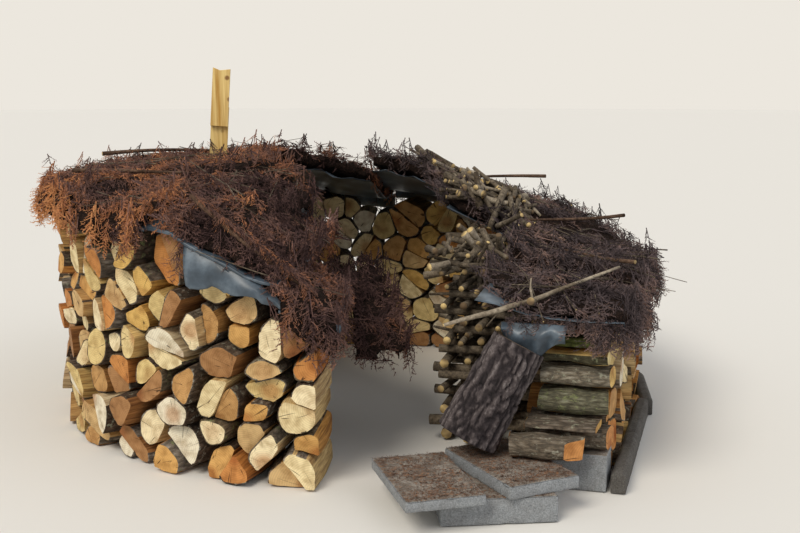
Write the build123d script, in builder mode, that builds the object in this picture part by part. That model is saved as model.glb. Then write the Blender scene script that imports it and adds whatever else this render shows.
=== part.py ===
from build123d import *
import math
import os
import random

os.makedirs("parts", exist_ok=True)

# A round firewood store: split logs lie radially in a wall one log thick that runs round a
# hollow left for a standing tree. Concrete slabs and kerbs foot it, a pile of thin branch
# wood fills its right side, and pond liner and conifer brush roof it. Lengths are in
# millimetres, +Z is up, the origin is the middle of the tree hollow at ground level, and
# the open front faces -Y.

# Plan of the log wall
inner_radius = 1085
log_length = 330
front_end_angle = -93
tangent_angle = -376.5
straight_run = 1120
tree_radius = 450
pier_width = 165

# Heights of the wall's top above the ground, by distance along its inner face
front_end_height = 690
left_shoulder_run = 620
left_height = 1030
left_run = 2300
back_height = 860
back_run = 3900
right_height = 640
right_run = 5000

# Logs
seat_gap = 0.3
log_gap = 0.26
smallest_log = 45
largest_log = 86
end_scatter = 42
inner_scatter = 3
# Log radii placed over the wall's face, and how often each is tried
log_ladder = ((largest_log, 280), (75, 500), (64, 1100), (54, 2000), (smallest_log, 3000))
split_area = 21000
shortest_side = 25
top_spread = 45
wall_seed = 41

# Concrete at the foot
block_height = 100
block_width = 435
block_depth = 350
block_middle = (574, -1625)
block_turn = 6.2
slab_width = 300
slab_depth = 500
left_slab_thickness = 40
right_slab_thickness = 50
kerb_height = 85
kerb_thickness = 60
kerb_standoff = 346
kerb_first_run = 1750
kerbs_on_arc = 10
kerbs_on_straight = 2
kerb_nose = 14

# Leaning log
butt_radius = 132
butt_top_radius = 113
butt_length = 420
butt_lean = 28
butt_sides = 16
butt_start = (390, -1400)

# Branch wood
pile_near = 610
pile_front = 700
pile_back = -330
pile_seed = 7

# Roof
liner_thickness = 3
liner_reach = 379
liner_drop = 34
flap_drop = 150
brush_thickness = 105
brush_reach = 440
fringe_depth = 100
fringe_inner = 392
fringe_round = 34
flap_bare = 30
inner_share = 0.8
shoulder_share = 0.6
crown_outer = 150
crown_inner = -120
front_slope_run = 300
front_slope_drop = 78
roof_overhang = 30

# Upright boards
board_width = 85
board_thickness = 22

arc_run = inner_radius * math.radians(front_end_angle - tangent_angle)
wall_run = arc_run + straight_run


def wall_frame(run):
    """Point on the inner face, outward normal and travel direction at a distance along it."""
    turn = math.radians(max(front_end_angle - math.degrees(run / inner_radius), tangent_angle))
    normal = Vector(math.cos(turn), math.sin(turn), 0)
    along = Vector(math.sin(turn), -math.cos(turn), 0)
    past = max(run - arc_run, 0)
    return normal * inner_radius + along * past, normal, along


def wall_point(run, out, height):
    """A point at a distance along the wall, outward from its inner face, and up."""
    point, normal, along = wall_frame(run)
    return point + normal * out + Vector(0, 0, height)


def blend(value, knots):
    """Straight-line value between (place, height) knots."""
    for (a, low), (b, high) in zip(knots, knots[1:]):
        if value <= b:
            return low + (high - low) * max(value - a, 0) / (b - a)
    return knots[-1][1]


def wall_height(run):
    return blend(run, [
        (0, front_end_height),
        (left_shoulder_run, left_height),
        (left_run, left_height),
        (back_run, back_height),
        (right_run, right_height),
        (wall_run, right_height),
    ])


def wall_slope(run):
    return (wall_height(run + smallest_log) - wall_height(run - smallest_log)) / (2 * smallest_log)


def clip(outline, a, b, limit):
    """The part of a convex outline where a * x + b * y stays under the limit."""
    kept = []
    for (px, py), (qx, qy) in zip(outline, outline[1:] + outline[:1]):
        p_over = a * px + b * py - limit
        q_over = a * qx + b * qy - limit
        if p_over <= 0:
            kept.append((px, py))
        if (p_over < 0 < q_over) or (q_over < 0 < p_over):
            share = p_over / (p_over - q_over)
            kept.append((px + (qx - px) * share, py + (qy - py) * share))
    return kept


def toward(start, end, share):
    return start[0] + (end[0] - start[0]) * share, start[1] + (end[1] - start[1]) * share


def area_of(outline):
    pairs = zip(outline, outline[1:] + outline[:1])
    return sum(px * qy - qx * py for (px, py), (qx, qy) in pairs) / 2


def centre_of(outline):
    total, cx, cy = 0, 0, 0
    for (px, py), (qx, qy) in zip(outline, outline[1:] + outline[:1]):
        cross = px * qy - qx * py
        total += cross
        cx += (px + qx) * cross
        cy += (py + qy) * cross
    return cx / (3 * total), cy / (3 * total)


def shape_log(chance, outline):
    """Rounds or splits an outline, keeping the middle of each side where logs meet."""
    sides = list(zip(outline, outline[1:] + outline[:1]))
    long_sides = [(p, q) for p, q in sides if math.dist(p, q) >= shortest_side]
    if len(long_sides) >= 3:
        sides = long_sides
    sharpness = chance.choice((0.35, 0.65, 0.9))
    corners = []
    for (before, corner), (corner_too, after) in zip(sides, sides[1:] + sides[:1]):
        if corner == corner_too and chance.random() < sharpness:
            corners.append(corner)
            continue
        share = chance.uniform(0.2, 0.34)
        corners.append(toward(corner, before, share))
        corners.append(toward(corner_too, after, share))
    return corners


def scatter_sites(chance, run_end):
    """Middles and radii of logs over the wall's face, the largest placed first."""
    sites = []
    for radius, tries in log_ladder:
        for _ in range(tries):
            run = chance.uniform(radius * 0.8, run_end - radius * 0.8)
            top = wall_height(run)
            height = chance.uniform(radius * 0.8, top + 90)
            reach = radius * chance.uniform(0.94, 1.06)
            if all(math.dist((run, height), (s, z)) > 0.9 * (reach + r) for s, z, r in sites):
                sites.append((run, height, reach))
    return sites


def cell(site, sites, run_end, gap):
    """The share of the wall's face that is nearer to one log than to any other."""
    run, height, radius = site
    outline = [(run - 400, 0), (run + 400, 0), (run + 400, height + 400), (run - 400, height + 400)]
    outline = clip(outline, -1, 0, 0)
    outline = clip(outline, 1, 0, run_end - gap)
    for other_run, other_height, other_radius in sites:
        a, b = other_run - run, other_height - height
        apart = math.hypot(a, b)
        if 0 < apart < 480:
            middle = (apart ** 2 + radius ** 2 - other_radius ** 2) / (2 * apart)
            turn, tilt = a / inner_radius, abs(a * b) * 2 / apart ** 2
            fan_out = tilt * (inner_radius * abs(turn) ** 3 / 12 + 8 * turn ** 2)
            limit = a * run + b * height + apart * (middle - gap - fan_out)
            outline = clip(outline, a, b, limit)
            if not outline:
                break
    return outline


def halves(chance, outline, gap):
    """Splits an outline along a chord through its middle."""
    x, y = centre_of(outline)
    turn = chance.uniform(0, math.pi)
    a, b = math.cos(turn), math.sin(turn)
    limit = a * x + b * y
    return [clip(outline, a, b, limit - gap), clip(outline, -a, -b, -limit - gap)]


chance = random.Random(wall_seed)
generated_end = wall_run - pier_width
sites = scatter_sites(chance, generated_end)
for _ in range(2):
    moved = []
    for site in sites:
        x, y = centre_of(cell(site, sites, generated_end, 0))
        moved.append(((site[0] + x) / 2, (site[1] + min(y, site[1] + 30)) / 2, site[2]))
    sites = moved

def kerb_spans():
    """Start and end of each kerb along the wall's inner face, and whether it is on the arc."""
    arc_step = (arc_run - kerb_first_run) / kerbs_on_arc
    run_step = straight_run / kerbs_on_straight
    spans = [(kerb_first_run + i * arc_step, kerb_first_run + (i + 1) * arc_step) for i in range(kerbs_on_arc)]
    return spans + [(arc_run + i * run_step, arc_run + (i + 1) * run_step) for i in range(kerbs_on_straight)]


def room_to_kerb(run, height, outline):
    """How far out a log's foot may reach before it meets the kerbs."""
    if min(y for _, y in outline) + height > kerb_height or run < kerb_first_run - 150:
        return math.inf
    room = math.inf
    point, normal, along = wall_frame(run)
    for first, last in kerb_spans():
        face, out, _ = wall_frame((first + last) / 2)
        if normal.dot(out) < 0.8 or abs(run - (first + last) / 2) > last - first + 120:
            continue
        for x, _ in outline:
            corner = point - along * x
            room = min(room, (kerb_standoff - (corner - face).dot(out)) / normal.dot(out))
    return room - seat_gap


# Each log: middle along the wall, middle height, outline about it, where it starts and ends
logs = []
for site in sites:
    if site[1] > wall_height(site[0]) - 0.35 * site[2]:
        continue
    outline = cell(site, sites, generated_end, log_gap)
    shares = [outline]
    if area_of(outline) > split_area:
        shares = halves(chance, outline, log_gap)
    for share in shares:
        shape = shape_log(chance, share)
        local = [(site[0] - s, z - site[1]) for s, z in shape]
        start = chance.uniform(0, inner_scatter) if site[0] < arc_run else 0
        reach = log_length + chance.uniform(-end_scatter / 2, end_scatter)
        reach = min(reach, room_to_kerb(site[0], site[1], local))
        local = clip(local, wall_slope(site[0]), 1, wall_height(site[0]) + top_spread - site[1])
        if len(local) > 3 and -area_of(local) > smallest_log ** 2:
            logs.append((site[0], site[1], local, start, reach))


def one_log(run, height, outline, start, reach):
    """A log lying outward through the wall, from its section at the inner face."""
    point, normal, along = wall_frame(run)
    with BuildPart() as piece:
        with BuildSketch(Plane(point + normal * start + Vector(0, 0, height), x_dir=-along, z_dir=normal)):
            with BuildLine():
                Polyline(*outline, close=True)
            make_face()
        extrude(amount=reach - start)
    return piece.part


def gather(pieces):
    """Loose solids that share a node."""
    with BuildPart() as group:
        add(pieces, clean=False)
    return group


def log_prisms(chosen):
    return gather([one_log(*log) for log in chosen])


def keep(piece, name):
    piece.part.label = name
    export_step(piece.part, f"parts/{name}.step")


sectors = [
    ("logs_front_end", 0, 330),
    ("logs_left_front", 330, 900),
    ("logs_left", 900, 1500),
    ("logs_left_back", 1500, 2150),
    ("logs_back_left", 2150, 2800),
    ("logs_back", 2800, 3450),
    ("logs_back_right", 3450, 4150),
    ("logs_right_back", 4150, 4850),
    ("logs_right", 4850, 5650),
    ("logs_right_front", 5650, wall_run),
]
for name, first, last in sectors:
    keep(log_prisms([log for log in logs if first <= log[0] < last]), name)

# Pier of large flat logs that ends the right side, standing on the slab and a block.
# Each layer: height, back and front from the wall's end, inner and outer end from its face
slab_top = block_height + seat_gap + right_slab_thickness
pier_back = log_gap - pier_width
pier_layers = [
    (100, pier_back, -5, 0, 330),
    (100, 30, 170, -35, 250),
    (40, pier_back, -72, 10, 315),
    (40, -71, 92, 15, 295),
    (112, pier_back, 6, 55, 322),
    (90, pier_back, -8, 60, 334),
    (65, pier_back, -22, 65, 318),
    (55, pier_back, -4, 55, 340),
    (42, pier_back + 12, -18, 80, 304),
]


def slab_outline(width, height, cut):
    """A split log's flattened section with its corners broken."""
    half, rise = width / 2, height / 2
    corners = [(-half, -rise), (half, -rise), (half, rise), (-half, rise)]
    cut_off = []
    for i, corner in enumerate(corners):
        cut_off.append(toward(corner, corners[i - 1], cut))
        cut_off.append(toward(corner, corners[(i + 1) % 4], cut))
    return cut_off


chance = random.Random(wall_seed + 1)
pier_logs = []
level = slab_top + seat_gap
for i, (height, back, front, inner, outer) in enumerate(pier_layers):
    outline = slab_outline(front - back, height, chance.uniform(0.1, 0.24))
    middle = wall_run + (back + front) / 2
    pier_logs.append((middle, level + height / 2, outline, inner, outer))
    last_of_layer = i + 1 == len(pier_layers) or pier_layers[i + 1][0] != height
    if last_of_layer:
        level += height + seat_gap
pier = log_prisms(pier_logs)
keep(pier, "pier_logs")

# Concrete foundation block, its two covering slabs, and the block beside them
with BuildPart() as foundation_block:
    with BuildSketch(Plane.XY) as block_plan:
        with Locations(Location(block_middle, block_turn)):
            Rectangle(block_width, block_depth)
    extrude(amount=block_height)
    chamfer(foundation_block.edges().group_by(Axis.Z)[-1], 5)
keep(foundation_block, "foundation_block")

slabs = [
    ("slab_left", (328, -1669), 15.3, left_slab_thickness),
    ("slab_right", (653, -1532), 26, right_slab_thickness),
]
for name, middle, turn, thickness in slabs:
    with BuildPart() as slab:
        with BuildSketch(Plane.XY.offset(block_height + seat_gap)):
            with Locations(Location(middle, turn)):
                Rectangle(slab_width, slab_depth)
        extrude(amount=thickness)
        chamfer(slab.edges().group_by(Axis.Z)[-1], 4)
    keep(slab, name)
    if name == "slab_right":
        right_slab = slab

with BuildPart() as pier_block:
    point, normal, along = wall_frame(wall_run)
    with BuildSketch(Plane(point, x_dir=-along, z_dir=(0, 0, 1))):
        with Locations((81, -212)):
            Rectangle(158, 236)
    extrude(amount=slab_top)
keep(pier_block, "pier_block")

# Kerbs round the foot of the back and right side, each a straight piece with a worn nose
kerb_groups = {
    "kerbs_left_back": kerb_spans()[:3],
    "kerbs_back": kerb_spans()[3:7],
    "kerbs_right": kerb_spans()[7:kerbs_on_arc],
    "kerbs_right_front": kerb_spans()[kerbs_on_arc:],
}
for name, spans in kerb_groups.items():
    with BuildPart() as kerbs:
        for first, last in spans:
            face, out, along = wall_frame((first + last) / 2)
            half = (last - first) / 2
            if last <= arc_run + 1:
                half = (inner_radius + kerb_standoff) * math.tan(half / inner_radius)
            with BuildSketch(Plane(face + out * kerb_standoff, x_dir=out, z_dir=along)):
                with Locations((kerb_thickness / 2, kerb_height / 2)):
                    Rectangle(kerb_thickness, kerb_height)
            extrude(amount=half - seat_gap / 2, both=True)
        nose = kerbs.edges().filter_by(Axis.Z, reverse=True).group_by(Axis.Z)[-1]
        long_edges = nose.filter_by(lambda edge: edge.length > kerb_thickness + 1)
        chamfer(long_edges, kerb_nose)
    keep(kerbs, name)


def top_points(log):
    """Points all over a log's upper half, close enough together to set the roof on."""
    run, height, outline, start, reach = log
    fine = []
    for (px, py), (qx, qy) in zip(outline, outline[1:] + outline[:1]):
        steps = math.ceil(math.dist((px, py), (qx, qy)) / 9)
        fine += [(px + (qx - px) * i / steps, py + (qy - py) * i / steps) for i in range(steps)]
    ends = (start, (start + reach) / 2, reach)
    point, normal, along = wall_frame(run)
    upper = [(x, y) for x, y in fine if y > 0]
    return [point + normal * u - along * x + Vector(0, 0, height + y) for x, y in upper for u in ends]


top_logs = [log for log in logs if log[1] > wall_height(log[0]) - 190]
all_points = [corner for log in top_logs + pier_logs[-2:] for corner in top_points(log)]


class RoofBay:
    """One straight bay of the roof over a stretch of the wall, sloping as the wall's top does."""

    def __init__(self, first, last, near, rise):
        self.first, self.last, self.near, self.rise = first, last, near, rise
        self.face, self.out, self.along = wall_frame((first + last) / 2)
        start, end = max(first, 0), min(last, wall_run)
        self.slope = 0
        if first >= -60:
            self.slope = (wall_height(end) - wall_height(start)) / (end - start)
        self.tip = math.cos(math.atan(self.slope))
        self.travel = (self.along + Vector(0, 0, self.slope)).normalized()
        self.sides = self.side_planes()
        self.cuts = list(self.sides)
        self.top = 0
        for corner in all_points:
            if self.covers(corner, 6):
                side = (corner - self.face).dot(self.along)
                self.top = max(self.top, corner.Z - self.slope * side)

    def side_planes(self):
        """The two upright planes between this bay and the next, facing into it."""
        _, _, first_along = wall_frame(self.first)
        _, _, last_along = wall_frame(self.last)
        start, end = wall_point(self.first, 0, 0), wall_point(self.last, 0, 0)
        return [
            Plane(start + first_along * seat_gap / 2, z_dir=first_along),
            Plane(end - last_along * seat_gap / 2, z_dir=-last_along),
        ]

    def covers(self, point, slack):
        if (point - self.face).dot(self.out) < self.near:
            return False
        return all((point - side.origin).dot(side.z_dir) > -slack for side in self.sides)

    def underside(self, point):
        """Height of the lowest roof skin over a point."""
        side, u = (point - self.face).dot(self.along), (point - self.face).dot(self.out)
        return self.top + seat_gap + self.slope * side + self.rise * max(-u, 0) / -self.near

    def solid(self, section):
        """A bay cut from a section whose corners are given outward and upward."""
        width = (self.last - self.first) * (1 + brush_reach / inner_radius) / self.tip
        with BuildPart() as bay:
            start = self.face + Vector(0, 0, self.top)
            with BuildSketch(Plane(start, x_dir=self.out, z_dir=self.travel)):
                with BuildLine():
                    Polyline(*[(u, (z - self.top) * self.tip) for u, z in section], close=True)
                make_face()
            extrude(amount=width * 0.6, both=True)
            for plane in self.cuts:
                split(bisect_by=plane, keep=Keep.TOP)
            if board_run in (self.first, self.last):
                slot = Plane(board_foot, x_dir=out, z_dir=board_axis)
                with BuildSketch(slot):
                    Rectangle(board_width + 2 * seat_gap, board_thickness + 2 * seat_gap)
                extrude(amount=lower_board_top, mode=Mode.SUBTRACT)
        return bay.part


bay_plan = [
    ("front_end", -60, 120, -50),
    ("left_front", 120, 330, -20),
    ("left_front", 330, 560, 20),
    ("left", 560, 900, 60),
    ("left", 900, 1250, 80),
    ("left", 1250, 1593, 85),
    ("left_back", 1593, 1950, 90),
    ("left_back", 1950, 2300, 90),
    ("back", 2300, 2700, 110),
    ("back", 2700, 3100, 140),
    ("back", 3100, 3500, 170),
    ("back_right", 3500, 3900, 200),
    ("back_right", 3900, 4300, 230),
    ("right", 4300, 4700, 260),
    ("right", 4700, 5070, 290),
    ("right", 5070, arc_run, 310),
    ("right_front", arc_run, arc_run + 380, 130),
    ("right_front", arc_run + 380, arc_run + 760, 110),
    ("right_front", arc_run + 760, wall_run + roof_overhang, 90),
]
bays = {}
brush_parts = []
for side, first, last, rise in bay_plan:
    near = tree_radius - inner_radius if first < arc_run - 1 else -230
    bays.setdefault(side, []).append(RoofBay(first, last, near, rise))
print("roof tops", [round(bay.top) for side in bays.values() for bay in side])

# Two lapped boards stand in the hollow and rise through the roof between two of its bays
board_run, board_out, board_lean = 1593, -320, 4
lower_board_top, upper_board_foot, upper_board_top = 1470, 1375, 1660
point, out, along = wall_frame(board_run)
board_sine = math.sin(math.radians(board_lean))
board_foot = point + out * board_out + Vector(0, 0, board_width / 2 * board_sine)
board_axis = (Vector(0, 0, 1) - out * math.tan(math.radians(board_lean))).normalized()


def board(low, high, shift, notch=0):
    """An upright board from one height to another, shifted along the wall."""
    base = board_foot + along * shift
    with BuildPart() as plank:
        with BuildSketch(Plane(base, x_dir=out + Vector(0, 0, math.tan(math.radians(board_lean))), z_dir=along)):
            half = board_width / 2
            with BuildLine():
                tip = [(half, high), (half * 0.2, high - notch), (-half, high - notch * 0.3)]
                Polyline((-half, low), (half, low), *tip, close=True)
            make_face()
        extrude(amount=board_thickness / 2, both=True)
    return plank


lower_board = board(0, lower_board_top, 0)
upper_board = board(upper_board_foot, upper_board_top, -board_thickness - seat_gap, 12)


def liner_section(bay, drop):
    near, low = bay.near + 30, bay.top + seat_gap
    rise = bay.rise * (bay.near + 30) / bay.near
    thick, reach = liner_thickness, liner_reach
    corners = [(near, low + rise), (0, low), (reach, low), (reach, low - drop)]
    skin = [(reach + thick, low - drop), (reach + thick, low + thick), (0, low + thick)]
    return corners + skin + [(near, low + rise + thick)]


def brush_section(bay, has_flap):
    """Heap over the liner: thin at the hollow, crowned, and hanging past the logs as a fringe.

    Where the liner's flap hangs out, the brush stops short on top of it.
    """
    near, low = bay.near, bay.top + liner_thickness + 2 * seat_gap
    inner_low, crown = low + bay.rise, low + brush_thickness
    outline = [(near, inner_low + brush_thickness * inner_share), (near, inner_low), (0, low)]
    if has_flap:
        outline += [(liner_reach, low), (liner_reach - flap_bare, low + brush_thickness * shoulder_share)]
    else:
        shoulder = low + brush_thickness * shoulder_share
        outline += [
            (fringe_inner, low),
            (fringe_inner, low - fringe_depth),
            (brush_reach - fringe_round, low - fringe_depth),
            (brush_reach, low - fringe_depth / 2),
            (brush_reach - fringe_round, shoulder),
        ]
    return outline + [(crown_outer, crown), (crown_inner, crown + bay.rise * 0.2)]


# The right side's heap slopes down to its front end
last_bay = bays["right_front"][-1]
_, end_out, end_along = wall_frame(wall_run)
slope_foot = wall_point(wall_run + roof_overhang, 0, last_bay.top + brush_thickness - front_slope_drop)
slope_line = Vector(0, 0, front_slope_drop) - end_along * front_slope_run
last_bay.cuts.append(Plane(slope_foot, x_dir=slope_line, z_dir=slope_line.cross(end_out)))

for side, group in bays.items():
    has_flap = side == "left_front"
    drop = flap_drop if has_flap else liner_drop
    keep(gather([bay.solid(liner_section(bay, drop)) for bay in group]), f"liner_{side}")
    brush = gather([bay.solid(brush_section(bay, has_flap)) for bay in group])
    keep(brush, f"brush_{side}")
    brush_parts += brush.part.solids()

# Low heap of brush that bridges the open front, from the left end towards the branch wood
heap_first, heap_last = -390, -61
heap_inner, heap_outer = tree_radius - inner_radius, -130
heap_low, heap_fall, heap_depth = 640, 250, 115


def heap_bay(first, last):
    face, out, along = wall_frame((first + last) / 2)
    outline = [
        (heap_inner, heap_low),
        (heap_outer + 40, heap_low - heap_fall),
        (heap_outer, heap_low - heap_fall + 30),
        (heap_outer - 60, heap_low - heap_fall + heap_depth),
        (heap_inner, heap_low + heap_depth),
    ]
    _, _, first_along = wall_frame(first)
    _, _, last_along = wall_frame(last)
    with BuildPart() as bay:
        with BuildSketch(Plane(face, x_dir=out, z_dir=along)):
            with BuildLine():
                Polyline(*outline, close=True)
            make_face()
        extrude(amount=(last - first) * 0.6, both=True)
        split(bisect_by=Plane(wall_point(first, 0, 0) + first_along * seat_gap / 2, z_dir=first_along))
        split(bisect_by=Plane(wall_point(last, 0, 0) - last_along * seat_gap / 2, z_dir=-last_along))
    return bay.part


heap_middle = (heap_first + heap_last) / 2
keep(gather([heap_bay(heap_first, heap_middle), heap_bay(heap_middle, heap_last)]), "brush_front_heap")


def way_to_rest(pieces, supports, travel=Vector(0, 0, -1), reach=0):
    """How far pieces that move as one can travel until one of them rests on a support."""
    pairs = []
    for piece in pieces:
        for support in supports:
            if apart_in_plan(piece.bounding_box(), support.bounding_box()) <= reach:
                pairs.append((piece, support))
    way = Vector(0, 0, 0)
    for _ in range(20):
        clear = min((Pos(*way) * piece).distance_to(support) for piece, support in pairs)
        if clear < seat_gap * 1.6:
            break
        way += travel * (clear - seat_gap)
    return Pos(*way)


def apart_in_plan(one, other):
    """How far apart two boxes lie seen from above, negative where they overlap."""
    apart_x = max(one.min.X, other.min.X) - min(one.max.X, other.max.X)
    apart_y = max(one.min.Y, other.min.Y) - min(one.max.Y, other.max.Y)
    return max(apart_x, apart_y)


# Butt of a trunk, leaning against the right side's end
with BuildPart() as butt:
    lean = math.radians(butt_lean)
    axis = Vector(math.sin(lean), 0.1, math.cos(lean)).normalized()
    foot = Vector(*butt_start, slab_top + butt_radius)
    foot_plane = Plane(foot, x_dir=axis.cross(Vector(0, 1, 0)), z_dir=axis)
    with BuildSketch(foot_plane):
        RegularPolygon(butt_radius, butt_sides)
    with BuildSketch(foot_plane.offset(butt_length)):
        RegularPolygon(butt_top_radius, butt_sides)
    loft(ruled=True)
butt.part = way_to_rest([butt.part], [right_slab.part]) * butt.part
butt.part = way_to_rest([butt.part], [pier.part], wall_frame(wall_run)[1], butt_length) * butt.part
keep(butt, "leaning_butt")

# Branch wood: crossing layers of thin branches beside the hollow, under the roof's right side
chance = random.Random(pile_seed)
pile_bays = bays["right"] + bays["right_front"]
point, out, along = wall_frame(arc_run)
centre = point - out * inner_radius
pile_far = inner_radius - seat_gap


def roof_over(spot):
    """Lowest roof skin over a spot, or the pile's own limit where the roof is open."""
    heights = [bay.underside(spot) for bay in pile_bays if bay.covers(spot, 40)]
    return min(heights, default=900)


def wall_limit(t):
    """Distance of the wall's inner face from the hollow's middle, beside a stick at t."""
    return pile_far if t > 40 else math.sqrt(inner_radius ** 2 - min(t - 60, 0) ** 2) - 30


def stick(start, end, thick, thin):
    line = (end - start).normalized()
    with BuildPart() as branch:
        with BuildSketch(Plane(start, x_dir=line.cross(Vector(0, 0, 1)), z_dir=line)):
            RegularPolygon(thick / 2, 6, major_radius=False, rotation=0)
        with BuildSketch(Plane(end, x_dir=line.cross(Vector(0, 0, 1)), z_dir=line)):
            RegularPolygon(thin / 2, 6, major_radius=False, rotation=0)
        loft(ruled=True)
    return branch.part


layers = [62, 62, 58, 56, 52, 50, 48, 46, 44, 42, 42, 40, 40, 38, 38, 36, 36, 34]
level = seat_gap
across, lengthwise = [], []
for i, thickness in enumerate(layers):
    middle = level + thickness / 2
    if i % 2:
        t = pile_back + 20
        while t < pile_front:
            skew = chance.uniform(-28, 28)
            first, last = pile_near + chance.uniform(-40, 60), wall_limit(t)
            while last - first > 200 and any(
                roof_over(centre + out * u + along * (t + s)) < level + thickness + 1
                for u in (last, (first + last) / 2) for s in (-thickness, thickness)
            ):
                last -= 20
            if last - first > 200:
                last -= thickness * abs(skew) * 1.2 / (last - first)
                ends = [centre + out * u + along * (t + s) + Vector(0, 0, middle) for u, s in ((first, -skew), (last, skew))]
                across.append((ends, thickness))
            t += thickness + 62 + chance.uniform(8, 50)
    else:
        u = pile_near + 40
        while u < pile_far - 40:
            first, last = pile_back + chance.uniform(-30, 40), pile_front + chance.uniform(-70, 60)
            while last - first > 400 and u + thickness > wall_limit(first):
                first += 20
            while last - first > 400 and any(
                roof_over(centre + out * (u + s) + along * t) < level + thickness + 1
                for t in (first, 0, last) for s in (-thickness, thickness)
            ):
                first += 20
            if last - first > 400:
                ends = [centre + out * u + along * t + Vector(0, 0, middle) for t in (first, last)]
                lengthwise.append((ends, thickness))
            u += thickness + 24 + chance.uniform(5, 30)
    level += thickness + seat_gap
print("branches", len(across), len(lengthwise), "pile height", level)
pile_sticks = []
for name, sticks in (("branches_across", across), ("branches_lengthwise", lengthwise)):
    pile = gather([stick(*ends, thickness, thickness) for ends, thickness in sticks])
    keep(pile, name)
    pile_sticks += pile.part.solids()[-12:]

keep(lower_board, "upright_board_lower")
keep(upper_board, "upright_board_upper")

# Long dead branch with a sawn stub, lying over the roof and the branch wood at the open front
branch_route = [(1128, -1150, 1115), (741, -1350, 1010), (556, -1430, 979), (395, -1500, 947)]
branch_radii = [6, 11, 11, 7]
stick_sides = 7


def tapered(points, radii):
    """A stick of few sides through points, its sections square to the line or mitred at a turn."""
    spans = [(b - a).normalized() for a, b in zip(points, points[1:])]
    with BuildPart() as piece:
        for i, (point, radius) in enumerate(zip(points, radii)):
            before, after = spans[max(i - 1, 0)], spans[min(i, len(spans) - 1)]
            facing = (before + after).normalized()
            with BuildSketch(Plane(point, x_dir=Vector(0, 0, 1).cross(facing), z_dir=facing)):
                RegularPolygon(radius, stick_sides)
        loft(ruled=True)
    return piece.part


fork = Vector(*branch_route[1])
with BuildPart() as long_branch:
    add(tapered([Vector(*spot) for spot in branch_route], branch_radii))
    add(tapered([fork + Vector(6, 0, 0), fork + Vector(-12, -40, 30)], [12, 11]))
    add(tapered([fork + Vector(12, 0, 4), fork + Vector(4, 10, 92)], [7, 4]))
long_branch.part = way_to_rest([long_branch.part], brush_parts + pile_sticks) * long_branch.part
keep(long_branch, "long_branch")

# Stems of the largest boughs, lying on the roof: start, end and radius. The first one
# slopes down with the front of the left side.
stem_start_height = 1400
front_stem_fall = 345
stems = [
    ((-596, -1270), (-143, -1400), 13),
    ((-1240, -620), (-700, -760), 13),
    ((-1330, 240), (-760, 520), 14),
    ((-900, 1080), (-300, 900), 13),
    ((180, 1380), (520, 800), 14),
    ((1080, 900), (560, 760), 13),
    ((1380, 60), (820, -140), 12),
    ((1260, -820), (980, -420), 12),
]
boughs = []
for i, ((x, y), (end_x, end_y), radius) in enumerate(stems):
    end_height = stem_start_height - (front_stem_fall if i == 0 else 0)
    ends = [Vector(x, y, stem_start_height), Vector(end_x, end_y, end_height)]
    bough = tapered(ends, [radius, radius / 2])
    boughs.append(way_to_rest([bough], brush_parts) * bough)
keep(gather(boughs), "bough_stems")
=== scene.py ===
import math
import random

import bmesh
import bpy
import numpy as np
from mathutils import Matrix, Vector, noise
from mathutils.bvhtree import BVHTree


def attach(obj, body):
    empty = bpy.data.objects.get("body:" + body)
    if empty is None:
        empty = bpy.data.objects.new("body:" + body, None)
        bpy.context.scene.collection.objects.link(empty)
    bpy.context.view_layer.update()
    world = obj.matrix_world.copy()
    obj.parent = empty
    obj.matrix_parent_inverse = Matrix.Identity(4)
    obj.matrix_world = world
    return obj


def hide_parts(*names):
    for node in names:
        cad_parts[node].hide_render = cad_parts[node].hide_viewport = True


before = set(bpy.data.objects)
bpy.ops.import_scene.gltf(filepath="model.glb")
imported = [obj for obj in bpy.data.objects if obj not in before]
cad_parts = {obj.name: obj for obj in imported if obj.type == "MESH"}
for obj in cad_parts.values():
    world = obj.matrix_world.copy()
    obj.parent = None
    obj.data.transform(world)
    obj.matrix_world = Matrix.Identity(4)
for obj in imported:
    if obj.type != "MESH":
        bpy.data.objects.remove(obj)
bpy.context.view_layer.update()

print("frame loaded:", len(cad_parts), "nodes")

noise.seed_set(3)  # without it the butt's bark changes from run to run
seeds = {"logs": 12, "brush": 5, "sticks": 31}
up = Vector((0, 0, 1))
# the log wall's inner face: an arc that starts at the left front, then a straight run at the right front
wallPlan = {
    "innerRadius": 1.085,
    "frontEndAngle": math.radians(-93),
    "tangentAngle": math.radians(-376.5),
    "straightRun": 1.12,
}


def levelWay(turn):
    return Vector((math.cos(turn), math.sin(turn), 0))


straightOut = levelWay(wallPlan["tangentAngle"])
straightAlong = straightOut.cross(up)
arcRun = wallPlan["innerRadius"] * (wallPlan["frontEndAngle"] - wallPlan["tangentAngle"])
wallRun = arcRun + wallPlan["straightRun"]


def outwardAt(point):
    # level direction out of the store: square to the straight wall at the right front, else radial
    if point.dot(straightAlong) > 0 and point.dot(straightOut) > 0.4:
        return straightOut
    return Vector((point.x, point.y, 0)).normalized()


def wallPoint(run, out, height=0.0):
    # a point at a distance along the wall's inner face, outward from it, and up
    turn = max(wallPlan["frontEndAngle"] - run / wallPlan["innerRadius"], wallPlan["tangentAngle"])
    normal = levelWay(turn)
    return normal * (wallPlan["innerRadius"] + out) + normal.cross(up) * max(run - arcRun, 0) + up * height


def hexColour(code):
    parts = [int(code[i:i + 2], 16) / 255 for i in (1, 3, 5)]
    return (*[c / 12.92 if c <= 0.04045 else ((c + 0.055) / 1.055) ** 2.4 for c in parts], 1.0)


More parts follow.
